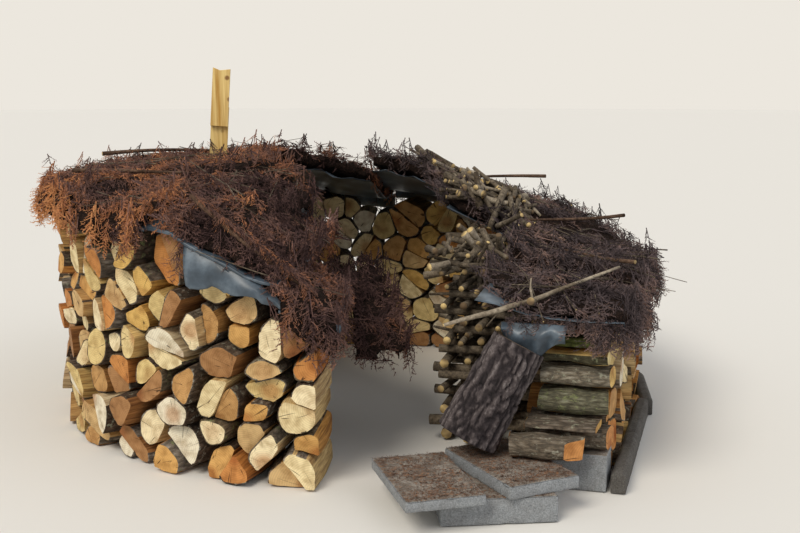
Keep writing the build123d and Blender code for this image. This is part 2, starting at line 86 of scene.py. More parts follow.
# Camera, lights and stage
view = {"place": (0.23, -5.75, 1.6), "pitchDown": 9.29, "focalPixels": 1140, "imageWidth": 800, "sensor": 36}
cameraData = bpy.data.cameras.new("photoCamera")
cameraData.sensor_width = view["sensor"]
cameraData.lens = view["sensor"] * view["focalPixels"] / view["imageWidth"]
camera = bpy.data.objects.new("photoCamera", cameraData)
camera.location = view["place"]
camera.rotation_euler = (math.radians(90 - view["pitchDown"]), 0, 0)
bpy.context.scene.collection.objects.link(camera)
bpy.context.scene.camera = camera
bpy.context.scene.view_settings.view_transform = "Standard"

lamps = [
    {"name": "keyLamp", "towards": (0.55, 0.8, -1.0), "strength": 1.9, "softness": 28, "tint": "#FFF8EC"},
    {"name": "fillLamp", "towards": (-0.9, 0.5, -0.55), "strength": 0.5, "softness": 60, "tint": "#EEF3FF"},
]
for lamp in lamps:
    lampData = bpy.data.lights.new(lamp["name"], "SUN")
    lampData.energy = lamp["strength"]
    lampData.angle = math.radians(lamp["softness"])
    lampData.color = hexColour(lamp["tint"])[:3]
    lampObject = bpy.data.objects.new(lamp["name"], lampData)
    lampObject.rotation_euler = Vector(lamp["towards"]).to_track_quat("-Z", "Y").to_euler()
    bpy.context.scene.collection.objects.link(lampObject)


multiply = {"data_type": "RGBA", "blend_type": "MULTIPLY"}


def addNode(tree, kind, inputs=None, stops=None, output=None, **settings):
    # adds a node with its settings and links, and gives its named output or its first one in use
    node = tree.nodes.new("ShaderNode" + kind)
    for name, value in settings.items():
        setattr(node, name, value)
    for name, value in (inputs or {}).items():
        if isinstance(value, bpy.types.NodeSocket):
            tree.links.new(value, node.inputs[name])
        else:
            node.inputs[name].default_value = value
    for i, (place, colour) in enumerate(stops or ()):
        ramp = node.color_ramp.elements
        stop = ramp[i] if i < 2 else ramp.new(place)
        stop.position = place
        stop.color = hexColour(colour)
    return node.outputs[output] if output else next(socket for socket in node.outputs if socket.enabled)


def newMaterial(name, roughness, specular, colour="#FFFFFF", metallic=0.0):
    material = bpy.data.materials.new(name)
    material.use_nodes = True
    tree = material.node_tree
    shader = tree.nodes["Principled BSDF"]
    shader.inputs["Roughness"].default_value = roughness
    shader.inputs["Specular IOR Level"].default_value = specular
    shader.inputs["Base Color"].default_value = hexColour(colour)
    shader.inputs["Metallic"].default_value = metallic
    return material, tree


def finishMaterial(material, colour, relief=None, strength=0.0, depth=0.0):
    # joins a pattern's colour, and its relief with a depth in metres, to the shader
    tree = material.node_tree
    shader = tree.nodes["Principled BSDF"]
    tree.links.new(colour, shader.inputs["Base Color"])
    if relief:
        bump = addNode(tree, "Bump", {"Height": relief, "Strength": strength, "Distance": depth})
        tree.links.new(bump, shader.inputs["Normal"])
    return material


world = bpy.data.worlds.new("studio")
bpy.context.scene.world = world
world.use_nodes = True
worldTree = world.node_tree
rays = addNode(worldTree, "LightPath").node.outputs
seen = addNode(worldTree, "Math", {0: rays["Is Camera Ray"], 1: rays["Is Glossy Ray"]}, operation="MAXIMUM")
softLight = addNode(worldTree, "Background", {"Color": hexColour("#F4F6FA"), "Strength": 0.6})
paleWall = addNode(worldTree, "Background", {"Color": hexColour("#ECE7DE"), "Strength": 1.0})
mixed = addNode(worldTree, "MixShader", {0: seen, 1: softLight, 2: paleWall})
worldTree.links.new(mixed, worldTree.nodes["World Output"].inputs[0])


def finishPiece(name, bm, materials, smooth=True):
    # turns a bmesh into an object at the origin
    for face in bm.faces:
        face.smooth = smooth
    mesh = bpy.data.meshes.new(name)
    bm.to_mesh(mesh)
    bm.free()
    for material in materials:
        mesh.materials.append(material)
    piece = bpy.data.objects.new(name, mesh)
    bpy.context.scene.collection.objects.link(piece)
    return piece


def settle(piece, nodeName=None):
    # the whole store is one body, and a piece stands in for the CAD node that it dresses
    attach(piece, "root")
    if nodeName:
        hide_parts(nodeName)
    return piece


def makeNoisy(name, roughness, specular, grain, stops, relief=None, stain=None):
    # a fine noise gives a material its colour and relief, and a broad one may darken it in patches
    material, tree = newMaterial(name, roughness, specular)
    place = addNode(tree, "TexCoord", output="Object")
    fine = addNode(tree, "TexNoise", {"Vector": place, **grain})
    colour = addNode(tree, "ValToRGB", {0: fine}, stops=stops)
    if stain:
        share, patches, shades = stain
        broad = addNode(tree, "TexNoise", {"Vector": place, **patches})
        shade = addNode(tree, "ValToRGB", {0: broad}, stops=shades)
        colour = addNode(tree, "Mix", {0: share, 6: colour, 7: shade}, **multiply)
    return finishMaterial(material, colour, fine, *relief) if relief else finishMaterial(material, colour)


# Wide round floor, in the colour of what is behind it
stageSize = {"radius": 60.0, "sides": 128, "level": -0.0035}
floorMaterial = newMaterial("paleStudioFloor", roughness=0.9, specular=0.1, colour="#E4E1DA")[0]
bm = bmesh.new()
bmesh.ops.create_circle(bm, cap_ends=True, segments=stageSize["sides"], radius=stageSize["radius"],
                        matrix=Matrix.Translation((0, 0, stageSize["level"])))
bm.normal_update()
bmesh.ops.reverse_faces(bm, faces=[f for f in bm.faces if f.normal.z < 0])
finishPiece("studioFloor", bm, [floorMaterial])
print("camera, lights and floor made")


# Materials of the logs. Every log carries a "grain" vector, its own section across the pith
# and length in metres, and tints for its wood and its bark.
def makeEndGrain():
    # saw-cut end grain: rings and drying cracks round the pith, heartwood darker than sapwood
    material, tree = newMaterial("sawnEndGrain", roughness=0.78, specular=0.25)
    grain = addNode(tree, "Attribute", output="Vector", attribute_name="grain")
    wood = addNode(tree, "Attribute", attribute_name="woodTint")
    axes = addNode(tree, "SeparateXYZ", {0: grain}).node.outputs
    flat = addNode(tree, "CombineXYZ", {0: axes[0], 1: axes[1]})
    wobble = addNode(tree, "TexNoise", {"Vector": flat, "Scale": 18, "Detail": 2})
    reach = addNode(tree, "VectorMath", {0: flat}, operation="LENGTH")
    bent = addNode(tree, "Math", {0: wobble, 1: 0.012, 2: reach}, operation="MULTIPLY_ADD")
    # rings are really 2 to 4 mm apart, drawn at 9 mm so that they show
    rings = addNode(tree, "Math", {0: bent, 1: 2 * math.pi / 0.009}, operation="MULTIPLY")
    ringWave = addNode(tree, "Math", {0: rings}, operation="SINE")
    ringShade = addNode(tree, "MapRange", {0: ringWave, 1: -1, 2: 1, 3: 0.9, 4: 1.04})
    heart = addNode(tree, "MapRange", {0: bent, 1: 0.062, 2: 0.03, 3: 0, 4: 1})
    heartShare = addNode(tree, "Math", {0: heart, 1: wood.node.outputs["Alpha"]}, operation="MULTIPLY")
    heartColour = addNode(tree, "Mix", {0: 0.75, 6: wood, 7: hexColour("#BA8048")}, **multiply)
    body = addNode(tree, "Mix", {0: heartShare, 6: wood, 7: heartColour}, data_type="RGBA")
    ringed = addNode(tree, "Mix", {0: 1.0, 6: body, 7: ringShade}, **multiply)
    stains = addNode(tree, "TexNoise", {"Vector": grain, "Scale": 26, "Detail": 4})
    stainRamp = addNode(tree, "ValToRGB", {0: stains}, stops=[(0.32, "#A58E6A"), (0.6, "#FFFFFF")])
    stained = addNode(tree, "Mix", {0: 0.55, 6: ringed, 7: stainRamp}, **multiply)
    # drying cracks run out from the pith: thin spokes that a noise breaks off and bends
    angle = addNode(tree, "Math", {0: axes[1], 1: axes[0]}, operation="ARCTAN2")
    seed = addNode(tree, "Math", {0: axes[2], 1: 0.15}, operation="MULTIPLY")
    polar = addNode(tree, "CombineXYZ", {0: angle, 1: reach, 2: seed})
    polarScaled = addNode(tree, "VectorMath", {0: polar, 1: (2.6, 2.5, 1)}, operation="MULTIPLY")
    spokes = addNode(tree, "TexVoronoi", {"Vector": polarScaled, "Scale": 1.3}, feature="DISTANCE_TO_EDGE")
    crackMask = addNode(tree, "TexNoise", {"Vector": polarScaled, "Scale": 3.0, "Detail": 1})
    crackWidth = addNode(tree, "MapRange", {0: crackMask, 1: 0.5, 2: 0.66, 3: 0, 4: 0.035})
    crackDepth = addNode(tree, "Math", {0: crackWidth, 1: spokes}, operation="SUBTRACT")
    cracks = addNode(tree, "ValToRGB", {0: crackDepth}, stops=[(0.0, "#FFFFFF"), (0.02, "#3A2818")])
    cracked = addNode(tree, "Mix", {0: 0.85, 6: stained, 7: cracks}, **multiply)
    fuzz = addNode(tree, "TexNoise", {"Vector": grain, "Scale": 320, "Detail": 3})
    height = addNode(tree, "Mix", {0: 0.35, 6: cracks, 7: fuzz}, data_type="RGBA")
    return finishMaterial(material, cracked, height, 0.5, 0.002)


def makeSplitWood():
    # split faces: torn fibres running the length of the log, pale and slightly weathered
    material, tree = newMaterial("splitFibreWood", roughness=0.8, specular=0.25)
    grain = addNode(tree, "Attribute", output="Vector", attribute_name="grain")
    wood = addNode(tree, "Attribute", attribute_name="woodTint")
    # fibres about 7 mm thick in streaks of 26 mm, both fourteen times as long
    stretched = addNode(tree, "VectorMath", {0: grain, 1: (1, 1, 0.07)}, operation="MULTIPLY")
    fibres = addNode(tree, "TexNoise", {"Vector": stretched, "Scale": 150, "Detail": 5, "Roughness": 0.65})
    broad = addNode(tree, "TexNoise", {"Vector": stretched, "Scale": 38, "Detail": 3})
    fibreShade = addNode(tree, "ValToRGB", {0: fibres},
                         stops=[(0.32, "#6E5234"), (0.5, "#D8BE94"), (0.68, "#FFF6E2")])
    broadShade = addNode(tree, "ValToRGB", {0: broad}, stops=[(0.34, "#8E6A42"), (0.6, "#FFFFFF")])
    first = addNode(tree, "Mix", {0: 0.75, 6: wood, 7: fibreShade}, **multiply)
    second = addNode(tree, "Mix", {0: 0.6, 6: first, 7: broadShade}, **multiply)
    return finishMaterial(material, second, fibres, 0.8, 0.003)


def makeLogBark(name, fissure, lichen, bumpDepth):
    # bark: plates between fissures along the log, with grey lichen and a little green
    material, tree = newMaterial(name, roughness=0.9, specular=0.2)
    grain = addNode(tree, "Attribute", output="Vector", attribute_name="grain")
    bark = addNode(tree, "Attribute", attribute_name="barkTint")
    # grooves and grain of 8 mm are three times as long as wide, and the lichen's patches are 30 mm
    stretched = addNode(tree, "VectorMath", {0: grain, 1: (1, 1, 0.34)}, operation="MULTIPLY")
    warp = addNode(tree, "TexNoise", {"Vector": stretched, "Scale": 40, "Detail": 3}, output="Color")
    warped = addNode(tree, "VectorMath", {0: warp, 1: (0.02, 0.02, 0.02), 2: stretched},
                     operation="MULTIPLY_ADD")
    plates = addNode(tree, "TexVoronoi", {"Vector": warped, "Scale": fissure}, feature="DISTANCE_TO_EDGE")
    plateShade = addNode(tree, "ValToRGB", {0: plates},
                         stops=[(0.0, "#453A31"), (0.14, "#A89A8A"), (0.4, "#FFFFFF")])
    fine = addNode(tree, "TexNoise", {"Vector": stretched, "Scale": 130, "Detail": 6, "Roughness": 0.7})
    fineShade = addNode(tree, "ValToRGB", {0: fine}, stops=[(0.3, "#6C6157"), (0.66, "#FFFFFF")])
    first = addNode(tree, "Mix", {0: 0.7, 6: bark, 7: plateShade}, **multiply)
    second = addNode(tree, "Mix", {0: 0.8, 6: first, 7: fineShade}, **multiply)
    patches = addNode(tree, "TexNoise", {"Vector": grain, "Scale": 34, "Detail": 8, "Roughness": 0.7})
    patchMask = addNode(tree, "MapRange", {0: patches, 1: 0.56, 2: 0.64, 3: 0, 4: lichen})
    green = bark.node.outputs["Alpha"]
    patchColour = addNode(tree, "Mix", {0: green, 6: hexColour("#A9A697"), 7: hexColour("#6F7A3C")},
                          data_type="RGBA")
    lichened = addNode(tree, "Mix", {0: patchMask, 6: second, 7: patchColour}, data_type="RGBA")
    height = addNode(tree, "Mix", {0: 0.4, 6: plateShade, 7: fine}, data_type="RGBA")
    return finishMaterial(material, lichened, height, 0.9, bumpDepth)


endGrain = makeEndGrain()
splitWood = makeSplitWood()
# plates of bark about 24 mm across
logBark = makeLogBark("lichenedLogBark", fissure=42, lichen=0.75, bumpDepth=0.005)
logMaterials = [logBark, splitWood, endGrain]

logLook = {
    "woodTints": ["#E6D2A2", "#EEDDB4", "#E2CA92", "#DCB468", "#D6A662", "#C98A4C", "#C2965E", "#E6DCC2",
                  "#A87C50", "#DCC386", "#E9D6A6", "#CFAE7A"],
    "barkTints": ["#9C9080", "#857565", "#A59C90", "#6E5B4B", "#8F8068", "#A89E92", "#7A6A5C"],
    "barkDepth": 0.005,
    "erosion": 0.0022,
    "segmentLength": 0.021,
    "lengthCuts": 4,
    "barkRoughness": 0.0042,
    "splitRoughness": 0.0028,
    "endTilt": 0.22,
    "lump": 0.003,
    "bulge": 0.007,
    "squarish": 0.0,
    "barkFront": False,
    "barkCorner": 0.42,
    "splitCorner": 0.1,
    "barkShare": 0.5,
    "barkFacing": 0.72,
    "flare": (-0.02, 0.1),
    "flatten": (-0.06, 0.0),
    "inset": 0.001,
    "groundGap": 0.0008,
    "greenShares": (0, 0, 0.3, 0.8),
    "heartShares": (0.1, 0.4, 0.8),
}


def looseParts(bm):
    found, parts = set(), []
    for vert in bm.verts:
        if vert in found:
            continue
        found.add(vert)
        waiting, part = [vert], []
        while waiting:
            current = waiting.pop()
            part.append(current)
            for link in current.link_edges:
                other = link.other_vert(current)
                if other not in found:
                    found.add(other)
                    waiting.append(other)
        parts.append(part)
    return parts


def facesOf(part):
    # the faces of a part, always in the same order, which a set wouldn't keep
    return list(dict.fromkeys(f for v in part for f in v.link_faces))


def mergedCopy(nodeName):
    bm = bmesh.new()
    bm.from_mesh(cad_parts[nodeName].data)
    bmesh.ops.remove_doubles(bm, verts=bm.verts, dist=0.00005)
    return bm


def nodesTree(nodeNames):
    # the CAD skins of some nodes, to drop rays on
    bm = bmesh.new()
    for nodeName in nodeNames:
        bm.from_mesh(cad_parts[nodeName].data)
    tree = BVHTree.FromBMesh(bm)
    bm.free()
    return tree


def logsOf(nodeName):
    # start outline, outward direction and length of every log in a CAD node
    bm = mergedCopy(nodeName)
    found = []
    for part in looseParts(bm):
        middle = sum((v.co for v in part), Vector()) / len(part)
        outward = outwardAt(middle)
        caps = [f for f in facesOf(part) if f.normal.dot(outward) < -0.97]
        rim = [e for f in caps for e in f.edges if sum(g in caps for g in e.link_faces) == 1]
        nextVert = {}
        for a, b in (e.verts for e in rim):
            nextVert.setdefault(a, []).append(b)
            nextVert.setdefault(b, []).append(a)
        start = rim[0].verts[0]
        loop, last = [start], None
        while True:
            step = [v for v in nextVert[loop[-1]] if v is not last][0]
            if step is start:
                break
            last = loop[-1]
            loop.append(step)
        outward = -sum((f.normal * f.calc_area() for f in caps), Vector()).normalized()
        reach = [v.co.dot(outward) for v in part]
        found.append(([v.co.copy() for v in loop], outward, max(reach) - min(reach)))
    bm.free()
    return found


def pithOf(corners, chance):
    # where the heart of the trunk was: at the sharpest corner, on the longest side, inside or beyond
    middle = sum(corners, Vector()) / len(corners)
    kind = chance.random()
    following = corners[1:] + corners[:1]
    if kind < 0.5:
        turns = [(a - b).angle(c - b) for a, b, c in zip(corners, following, corners[2:] + corners[:2])]
        return following[turns.index(min(turns))].lerp(middle, 0.06)
    if kind < 0.72:
        a, b = max(zip(corners, following), key=lambda side: (side[1] - side[0]).length)
        return ((a + b) / 2).lerp(middle, 0.1)
    off = 0.008 if kind < 0.9 else 0.12
    return middle + Vector((chance.uniform(-off, off), chance.uniform(-off, off), 0))


def dressLog(target, log, chance, look, woodTint, barkTint, splitTop=False, sawCut=None):
    # one log with rounded bark, split faces and uneven sawn ends, over the CAD log's prism
    outline, outward, length = log
    side = outward.cross(up)
    origin = sum(outline, Vector()) / len(outline)
    corners = [Vector(((p - origin).dot(side), (p - origin).dot(up), 0)) for p in outline]
    pith = pithOf(corners, chance)
    size = max(c.length for c in corners)
    bm = bmesh.new()
    bm.faces.new([bm.verts.new(c * (1 - look["erosion"] / size)) for c in corners])
    for vert in list(bm.verts):
        isBarky = look["barkFront"] or (vert.co - pith).length > 0.55 * size
        share = look["barkCorner" if isBarky else "splitCorner"]
        width = share * min(e.calc_length() for e in vert.link_edges)
        bmesh.ops.bevel(bm, geom=[vert], affect="VERTICES", offset=width, offset_type="OFFSET",
                        segments=3 if isBarky else 1, profile=0.5, material=-1)
    for edge in list(bm.edges):
        cuts = int(edge.calc_length() / look["segmentLength"])
        if cuts:
            bmesh.ops.subdivide_edges(bm, edges=[edge], cuts=cuts)
    bm.faces.ensure_lookup_table()
    extruded = bmesh.ops.extrude_face_region(bm, geom=[bm.faces[0]])["geom"]
    farVerts = [v for v in extruded if isinstance(v, bmesh.types.BMVert)]
    bmesh.ops.translate(bm, verts=farVerts, vec=(0, 0, length))
    lengthwise = [e for e in bm.edges if abs(e.verts[1].co.z - e.verts[0].co.z) > length / 2]
    bmesh.ops.subdivide_edges(bm, edges=lengthwise, cuts=look["lengthCuts"])
    if sawCut:
        # the far end was sawn at a slant, so its cut face turns to the front
        place, way = sawCut
        front = max(v.co.x for v in bm.verts)
        cut = bmesh.ops.bisect_plane(bm, geom=bm.verts[:] + bm.edges[:] + bm.faces[:], clear_outer=True,
                                     plane_co=(front, 0, length - place), plane_no=way)["geom_cut"]
        bmesh.ops.holes_fill(bm, edges=[e for e in cut if isinstance(e, bmesh.types.BMEdge)])
    bm.normal_update()
    ends = [f for f in bm.faces if abs(f.normal.z) > 0.55]
    rings = bmesh.ops.inset_individual(bm, faces=ends, thickness=look["barkDepth"],
                                       use_even_offset=True)["faces"]
    bmesh.ops.recalc_face_normals(bm, faces=bm.faces)

    def onBark(place, normal):
        if look["barkFront"]:
            topSplit = splitTop and normal.y > 0.25
            return normal.x > 0.2 and not topSplit or normal.y > 0.4 and not splitTop
        away = Vector((place.x, place.y, 0)) - pith
        return away.length > look["barkShare"] * size and normal.dot(away.normalized()) > look["barkFacing"]

    for face in bm.faces:
        face.material_index = 0 if onBark(face.calc_center_median(), face.normal) else 1
        if abs(face.normal.z) > 0.5:
            face.material_index = 2
    for face in rings:
        beside = [f for e in face.edges for f in e.link_faces if abs(f.normal.z) < 0.5]
        if beside and beside[0].material_index == 0:
            face.material_index = 0
    # uneven ends, taper, and bark or torn fibres on the sides
    tilt = [chance.uniform(-look["endTilt"], look["endTilt"]) for _ in range(4)]
    spread, flatten = chance.uniform(*look["flare"]), chance.uniform(*look["flatten"])
    widest, tallest = max(abs(c.x) for c in corners), max(abs(c.y) for c in corners)
    shift = Vector([chance.uniform(0, 90) for _ in range(3)])
    grainLayer = bm.verts.layers.float_vector.new("grain")
    woodLayer = bm.verts.layers.float_color.new("woodTint")
    barkLayer = bm.verts.layers.float_color.new("barkTint")
    for vert in bm.verts:
        x, y, z = vert.co
        vert[grainLayer] = (x - pith.x, y - pith.y, z + shift.x)
        vert[woodLayer], vert[barkLayer] = woodTint, barkTint
        along = z / length
        isSide = any(abs(f.normal.z) < 0.5 for f in vert.link_faces)
        rough = 0
        if isSide:
            if any(f.material_index == 0 for f in vert.link_faces):
                rough = look["barkRoughness"] * noise.noise(Vector((x * 26, y * 26, z * 12)) + shift)
            else:
                rough = look["splitRoughness"] * noise.noise(Vector((x * 45, y * 45, z * 4)) + shift)
            rough += look["lump"] * (noise.noise(Vector((x * 8, y * 8, z * 9)) + shift) - 0.3)
        rough -= look["squarish"] * (x / widest * y / tallest) ** 2
        bulge = look["bulge"] * math.sin(math.pi * min(max(along, 0), 1))
        push = Vector((x, y, 0)).normalized() * (rough - look["inset"] + bulge)
        tiltHere = along * (tilt[0] * x + tilt[1] * y) + (1 - along) * (tilt[2] * x + tilt[3] * y)
        vert.co = (x * (1 + spread * along) + push.x, y * (1 + flatten * along) + push.y, z + tiltHere)
    place = Matrix((side, up, outward)).transposed().to_4x4()
    bmesh.ops.transform(bm, matrix=Matrix.Translation(origin) @ place, verts=bm.verts)
    for vert in bm.verts:
        vert.co.z = max(vert.co.z, look["groundGap"])
    bmesh.ops.recalc_face_normals(bm, faces=bm.faces)
    mesh = bpy.data.meshes.new("log")
    bm.to_mesh(mesh)
    bm.free()
    target.from_mesh(mesh)
    bpy.data.meshes.remove(mesh)


def withAlpha(code, alpha):
    return (*hexColour(code)[:3], alpha)


chance = random.Random(seeds["logs"])
for nodeName in sorted(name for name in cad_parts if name.startswith("logs_")):
    bm = bmesh.new()
    for log in logsOf(nodeName):
        woodTint = withAlpha(chance.choice(logLook["woodTints"]), chance.choice(logLook["heartShares"]))
        barkTint = withAlpha(chance.choice(logLook["barkTints"]), chance.choice(logLook["greenShares"]))
        dressLog(bm, log, chance, logLook, woodTint, barkTint)
    piece = finishPiece(nodeName.replace("logs", "splitLogs"), bm, logMaterials, smooth=False)
    settle(piece, nodeName)
    print(nodeName, "dressed:", len(piece.data.polygons), "faces")


# Pier of big flat logs, each with its own bark
pierLook = dict(logLook, lengthCuts=12, barkRoughness=0.006, endTilt=0.12, lump=0.012, squarish=0.02,
                bulge=0.0, barkFront=True, heart=0.6, sawCut=(0.075, (0.74, 0, 0.67)))
# bark, wood, green share and whether the top is split, from the lowest log up
pierTints = [
    ("#9A9080", "#CE8F52", 0.1, False),
    ("#9A9080", "#CE8F52", 0.1, False),
    ("#93887A", "#C79A55", 0.2, False),
    ("#93887A", "#C9A05A", 0.3, False),
    ("#90907A", "#D2A450", 0.8, False),
    ("#ACA594", "#DDB86E", 0.2, False),
    ("#77745C", "#F0DCA0", 0.6, True),
    ("#6F7A42", "#C9A86A", 1.0, False),
    ("#A5766A", "#B98A62", 0.0, False),
]
bm = bmesh.new()
pierLogs = sorted(logsOf("pier_logs"), key=lambda log: sum(p.z for p in log[0]) / len(log[0]))
frontLog = min(pierLogs, key=lambda log: sum(p.y for p in log[0]) / len(log[0]))
for log, (bark, wood, green, splitTop) in zip(pierLogs, pierTints):
    dressLog(bm, log, chance, pierLook, withAlpha(wood, pierLook["heart"]), withAlpha(bark, green), splitTop,
             pierLook["sawCut"] if log is frontLog else None)
settle(finishPiece("pierLogs", bm, logMaterials, smooth=False), "pier_logs")
print("pier logs dressed")


# Dead conifer brush
def makeNeedles(name, stops):
    # dead needles: dry and matt, with painted shade inside the heap and a painted highlight towards each
    # spray's tips, speckled about every 8 mm
    material, tree = newMaterial(name, roughness=0.85, specular=0.12)
    tone = addNode(tree, "Attribute", output="Fac", attribute_name="tone")
    place = addNode(tree, "TexCoord", output="Object")
    speckle = addNode(tree, "TexNoise", {"Vector": place, "Scale": 120, "Detail": 2})
    mixed = addNode(tree, "Math", {0: speckle, 1: 0.35, 2: tone}, operation="MULTIPLY_ADD")
    colours = addNode(tree, "ValToRGB", {0: mixed}, stops=stops)
    return finishMaterial(material, colours)


rustNeedles = makeNeedles("deadConiferNeedles", [(0.08, "#211817"), (1.0, "#CF9260"), (0.3, "#3F2E2C"),
                                                 (0.46, "#5A4440"), (0.62, "#785A4F"), (0.8, "#A36C4C")])
greyNeedles = makeNeedles("greyedConiferNeedles", [(0.08, "#1F1A1B"), (1.0, "#AE9280"), (0.3, "#393132"),
                                                   (0.46, "#4F4545"), (0.62, "#6A5A58"), (0.8, "#896E63")])
# the heap under the sprays: matted twigs and needles about 13 mm apart, with painted shade near black
# between them
thatch = makeNoisy("mattedBrush", 0.95, 0.1,
                   {"Scale": 75, "Detail": 8, "Roughness": 0.75, "Distortion": 1.5},
                   [(0.38, "#15110F"), (0.68, "#5E463C"), (0.54, "#30241F")], relief=(1.0, 0.02))
sprayLook = {
    "variants": 9,
    "length": 0.17,
    "stemRadius": 0.0032,
    "twigs": 12,
    "twigLength": 0.052,
    "twigRadius": 0.0026,
    "needlesPerTwig": 9,
    "needleLength": 0.0082,
    "needleWidth": 0.005,
    "twigAngle": (22, 70),
    "twigShare": (0.5, 1.3),
    "bend": 0.9,
    "sag": 0.8,
}


def runAt(point):
    # distance along the wall's inner face from its left front end
    turn = math.atan2(point.y, point.x)
    return (wallPlan["frontEndAngle"] - turn) % (2 * math.pi) * wallPlan["innerRadius"]


def spanPlace(start, end):
    # puts what stands along Z about the origin between two points
    turn = (end - start).to_track_quat("Z", "Y")
    return Matrix.Translation((start + end) / 2) @ turn.to_matrix().to_4x4()


def addTwig(bm, start, end, radius):
    bmesh.ops.create_cone(bm, cap_ends=False, segments=3, radius1=radius, radius2=0,
                          depth=(end - start).length, matrix=spanPlace(start, end))


def addNeedle(bm, root, half, tip):
    bm.faces.new([bm.verts.new(root - half), bm.verts.new(root + half), bm.verts.new(tip)])


def hangTurn(way, side):
    # turns a spray along a way, flat to a side
    flat = side.cross(way)
    return Matrix((way, flat.cross(way), flat)).transposed().to_4x4()


def spotOn(face, chance):
    # an even random place on a triangle
    a, b = sorted((chance.random(), chance.random()))
    p, q, r = (v.co for v in face.verts[:3])
    return p * a + q * (b - a) + r * (1 - b)


def makeSpray(chance, look):
    # one ragged spray along +X: bent stem, side twigs of uneven length, short dense needles
    bm = bmesh.new()
    length = look["length"]
    bend = chance.uniform(-look["bend"], look["bend"])
    addTwig(bm, Vector((0, 0, 0)), Vector((length, 0, 0)), look["stemRadius"])
    for i in range(look["twigs"]):
        along = (i + chance.uniform(0.6, 1.6)) / (look["twigs"] + 1)
        angle = math.radians(chance.uniform(*look["twigAngle"])) * chance.choice((-1, 1))
        start = Vector((length * along * 0.95, 0, 0))
        reach = look["twigLength"] * (1.2 - 0.7 * along) * chance.uniform(*look["twigShare"])
        way = Vector((math.cos(angle), math.sin(angle), chance.uniform(-0.7, 0.7))).normalized()
        addTwig(bm, start, start + way * reach, look["twigRadius"])
        across = way.cross(up).normalized()
        for j in range(look["needlesPerTwig"]):
            root = start + way * reach * (j + 0.6) / look["needlesPerTwig"]
            turn = chance.uniform(0, 2 * math.pi)
            lean = across * math.cos(turn) + across.cross(way) * math.sin(turn)
            tip = root + (way * 0.8 + lean).normalized() * look["needleLength"] * chance.uniform(0.6, 1.3)
            addNeedle(bm, root, way * look["needleWidth"] / 2, tip)
    toneLayer = bm.verts.layers.float.new("tone")
    for vert in bm.verts:
        x, y, z = vert.co
        # the tone rises towards the tips: painted shade at the spray's base, painted highlight at its tips
        vert[toneLayer] = 0.3 * x / length + 2.5 * abs(y)
        vert.co.y += bend * x * x
        vert.co.z += 0.012 * math.sin(x * 22) - look["sag"] * (x ** 2 + y ** 2)
    mesh = bpy.data.meshes.new("spray")
    bm.to_mesh(mesh)
    bm.free()
    return mesh


def addSpray(target, spray, matrix, tone):
    copy = spray.copy()
    copy.transform(matrix)
    values = [0.0] * len(copy.vertices)
    layer = copy.attributes["tone"].data
    layer.foreach_get("value", values)
    layer.foreach_set("value", [v + tone for v in values])
    target.from_mesh(copy)
    bpy.data.meshes.remove(copy)


brushLook = {
    "rimWeight": 1.9,
    "rimSpread": 0.55,
    "topSpread": 0.95,
    "rise": (-0.12, 0.26),
    "roll": 0.9,
    "sizes": (0.6, 1.15),
    "rimTuck": 0.07,
    "topTuck": 0.12,
    "rimSink": 0.012,
    "lift": (-0.01, 0.02),
    "flapRun": (0.1, 0.42),
}


def skinSpots(nodeName, count, chance):
    # random places on a brush solid's skin, apart from its joints and underside, with the normal there
    bm = mergedCopy(nodeName)
    bmesh.ops.recalc_face_normals(bm, faces=bm.faces)
    faces, weights = [], []
    for face in bm.faces:
        middle = face.calc_center_median()
        isJoint = allBrush.ray_cast(middle + face.normal * 0.0001, face.normal, 0.004)[0] is not None
        isRim = face.normal.z < 0.5 and face.normal.dot(outwardAt(middle)) > 0.4
        if face.normal.z > -0.3 and not isJoint:
            faces.append(face)
            weights.append(face.calc_area() * (brushLook["rimWeight"] if isRim else 1))
    spots = [(spotOn(face, chance), face.normal.copy()) for face in chance.choices(faces, weights, k=count)]
    bm.free()
    return spots


def hangFringe(bm, plan, chance, sprays):
    # sprays that hang down over the edge of the liner
    for _ in range(plan["count"]):
        spot = wallPoint(chance.uniform(*plan["run"]), chance.uniform(*plan["out"]), 2)
        hit = allBrush.ray_cast(spot, -up)[0]
        if not hit:
            continue
        facing = plan["facing"] or outwardAt(spot)
        way = (facing * plan["lean"] - up + facing.cross(up) * chance.gauss(0, 0.4)).normalized()
        turn = hangTurn(way, way.cross(facing).normalized())
        addSpray(bm, chance.choice(sprays), Matrix.Translation(hit - up * 0.02) @ turn
                 @ Matrix.Scale(chance.uniform(*plan["sizes"]), 4), chance.uniform(*plan["tones"]))


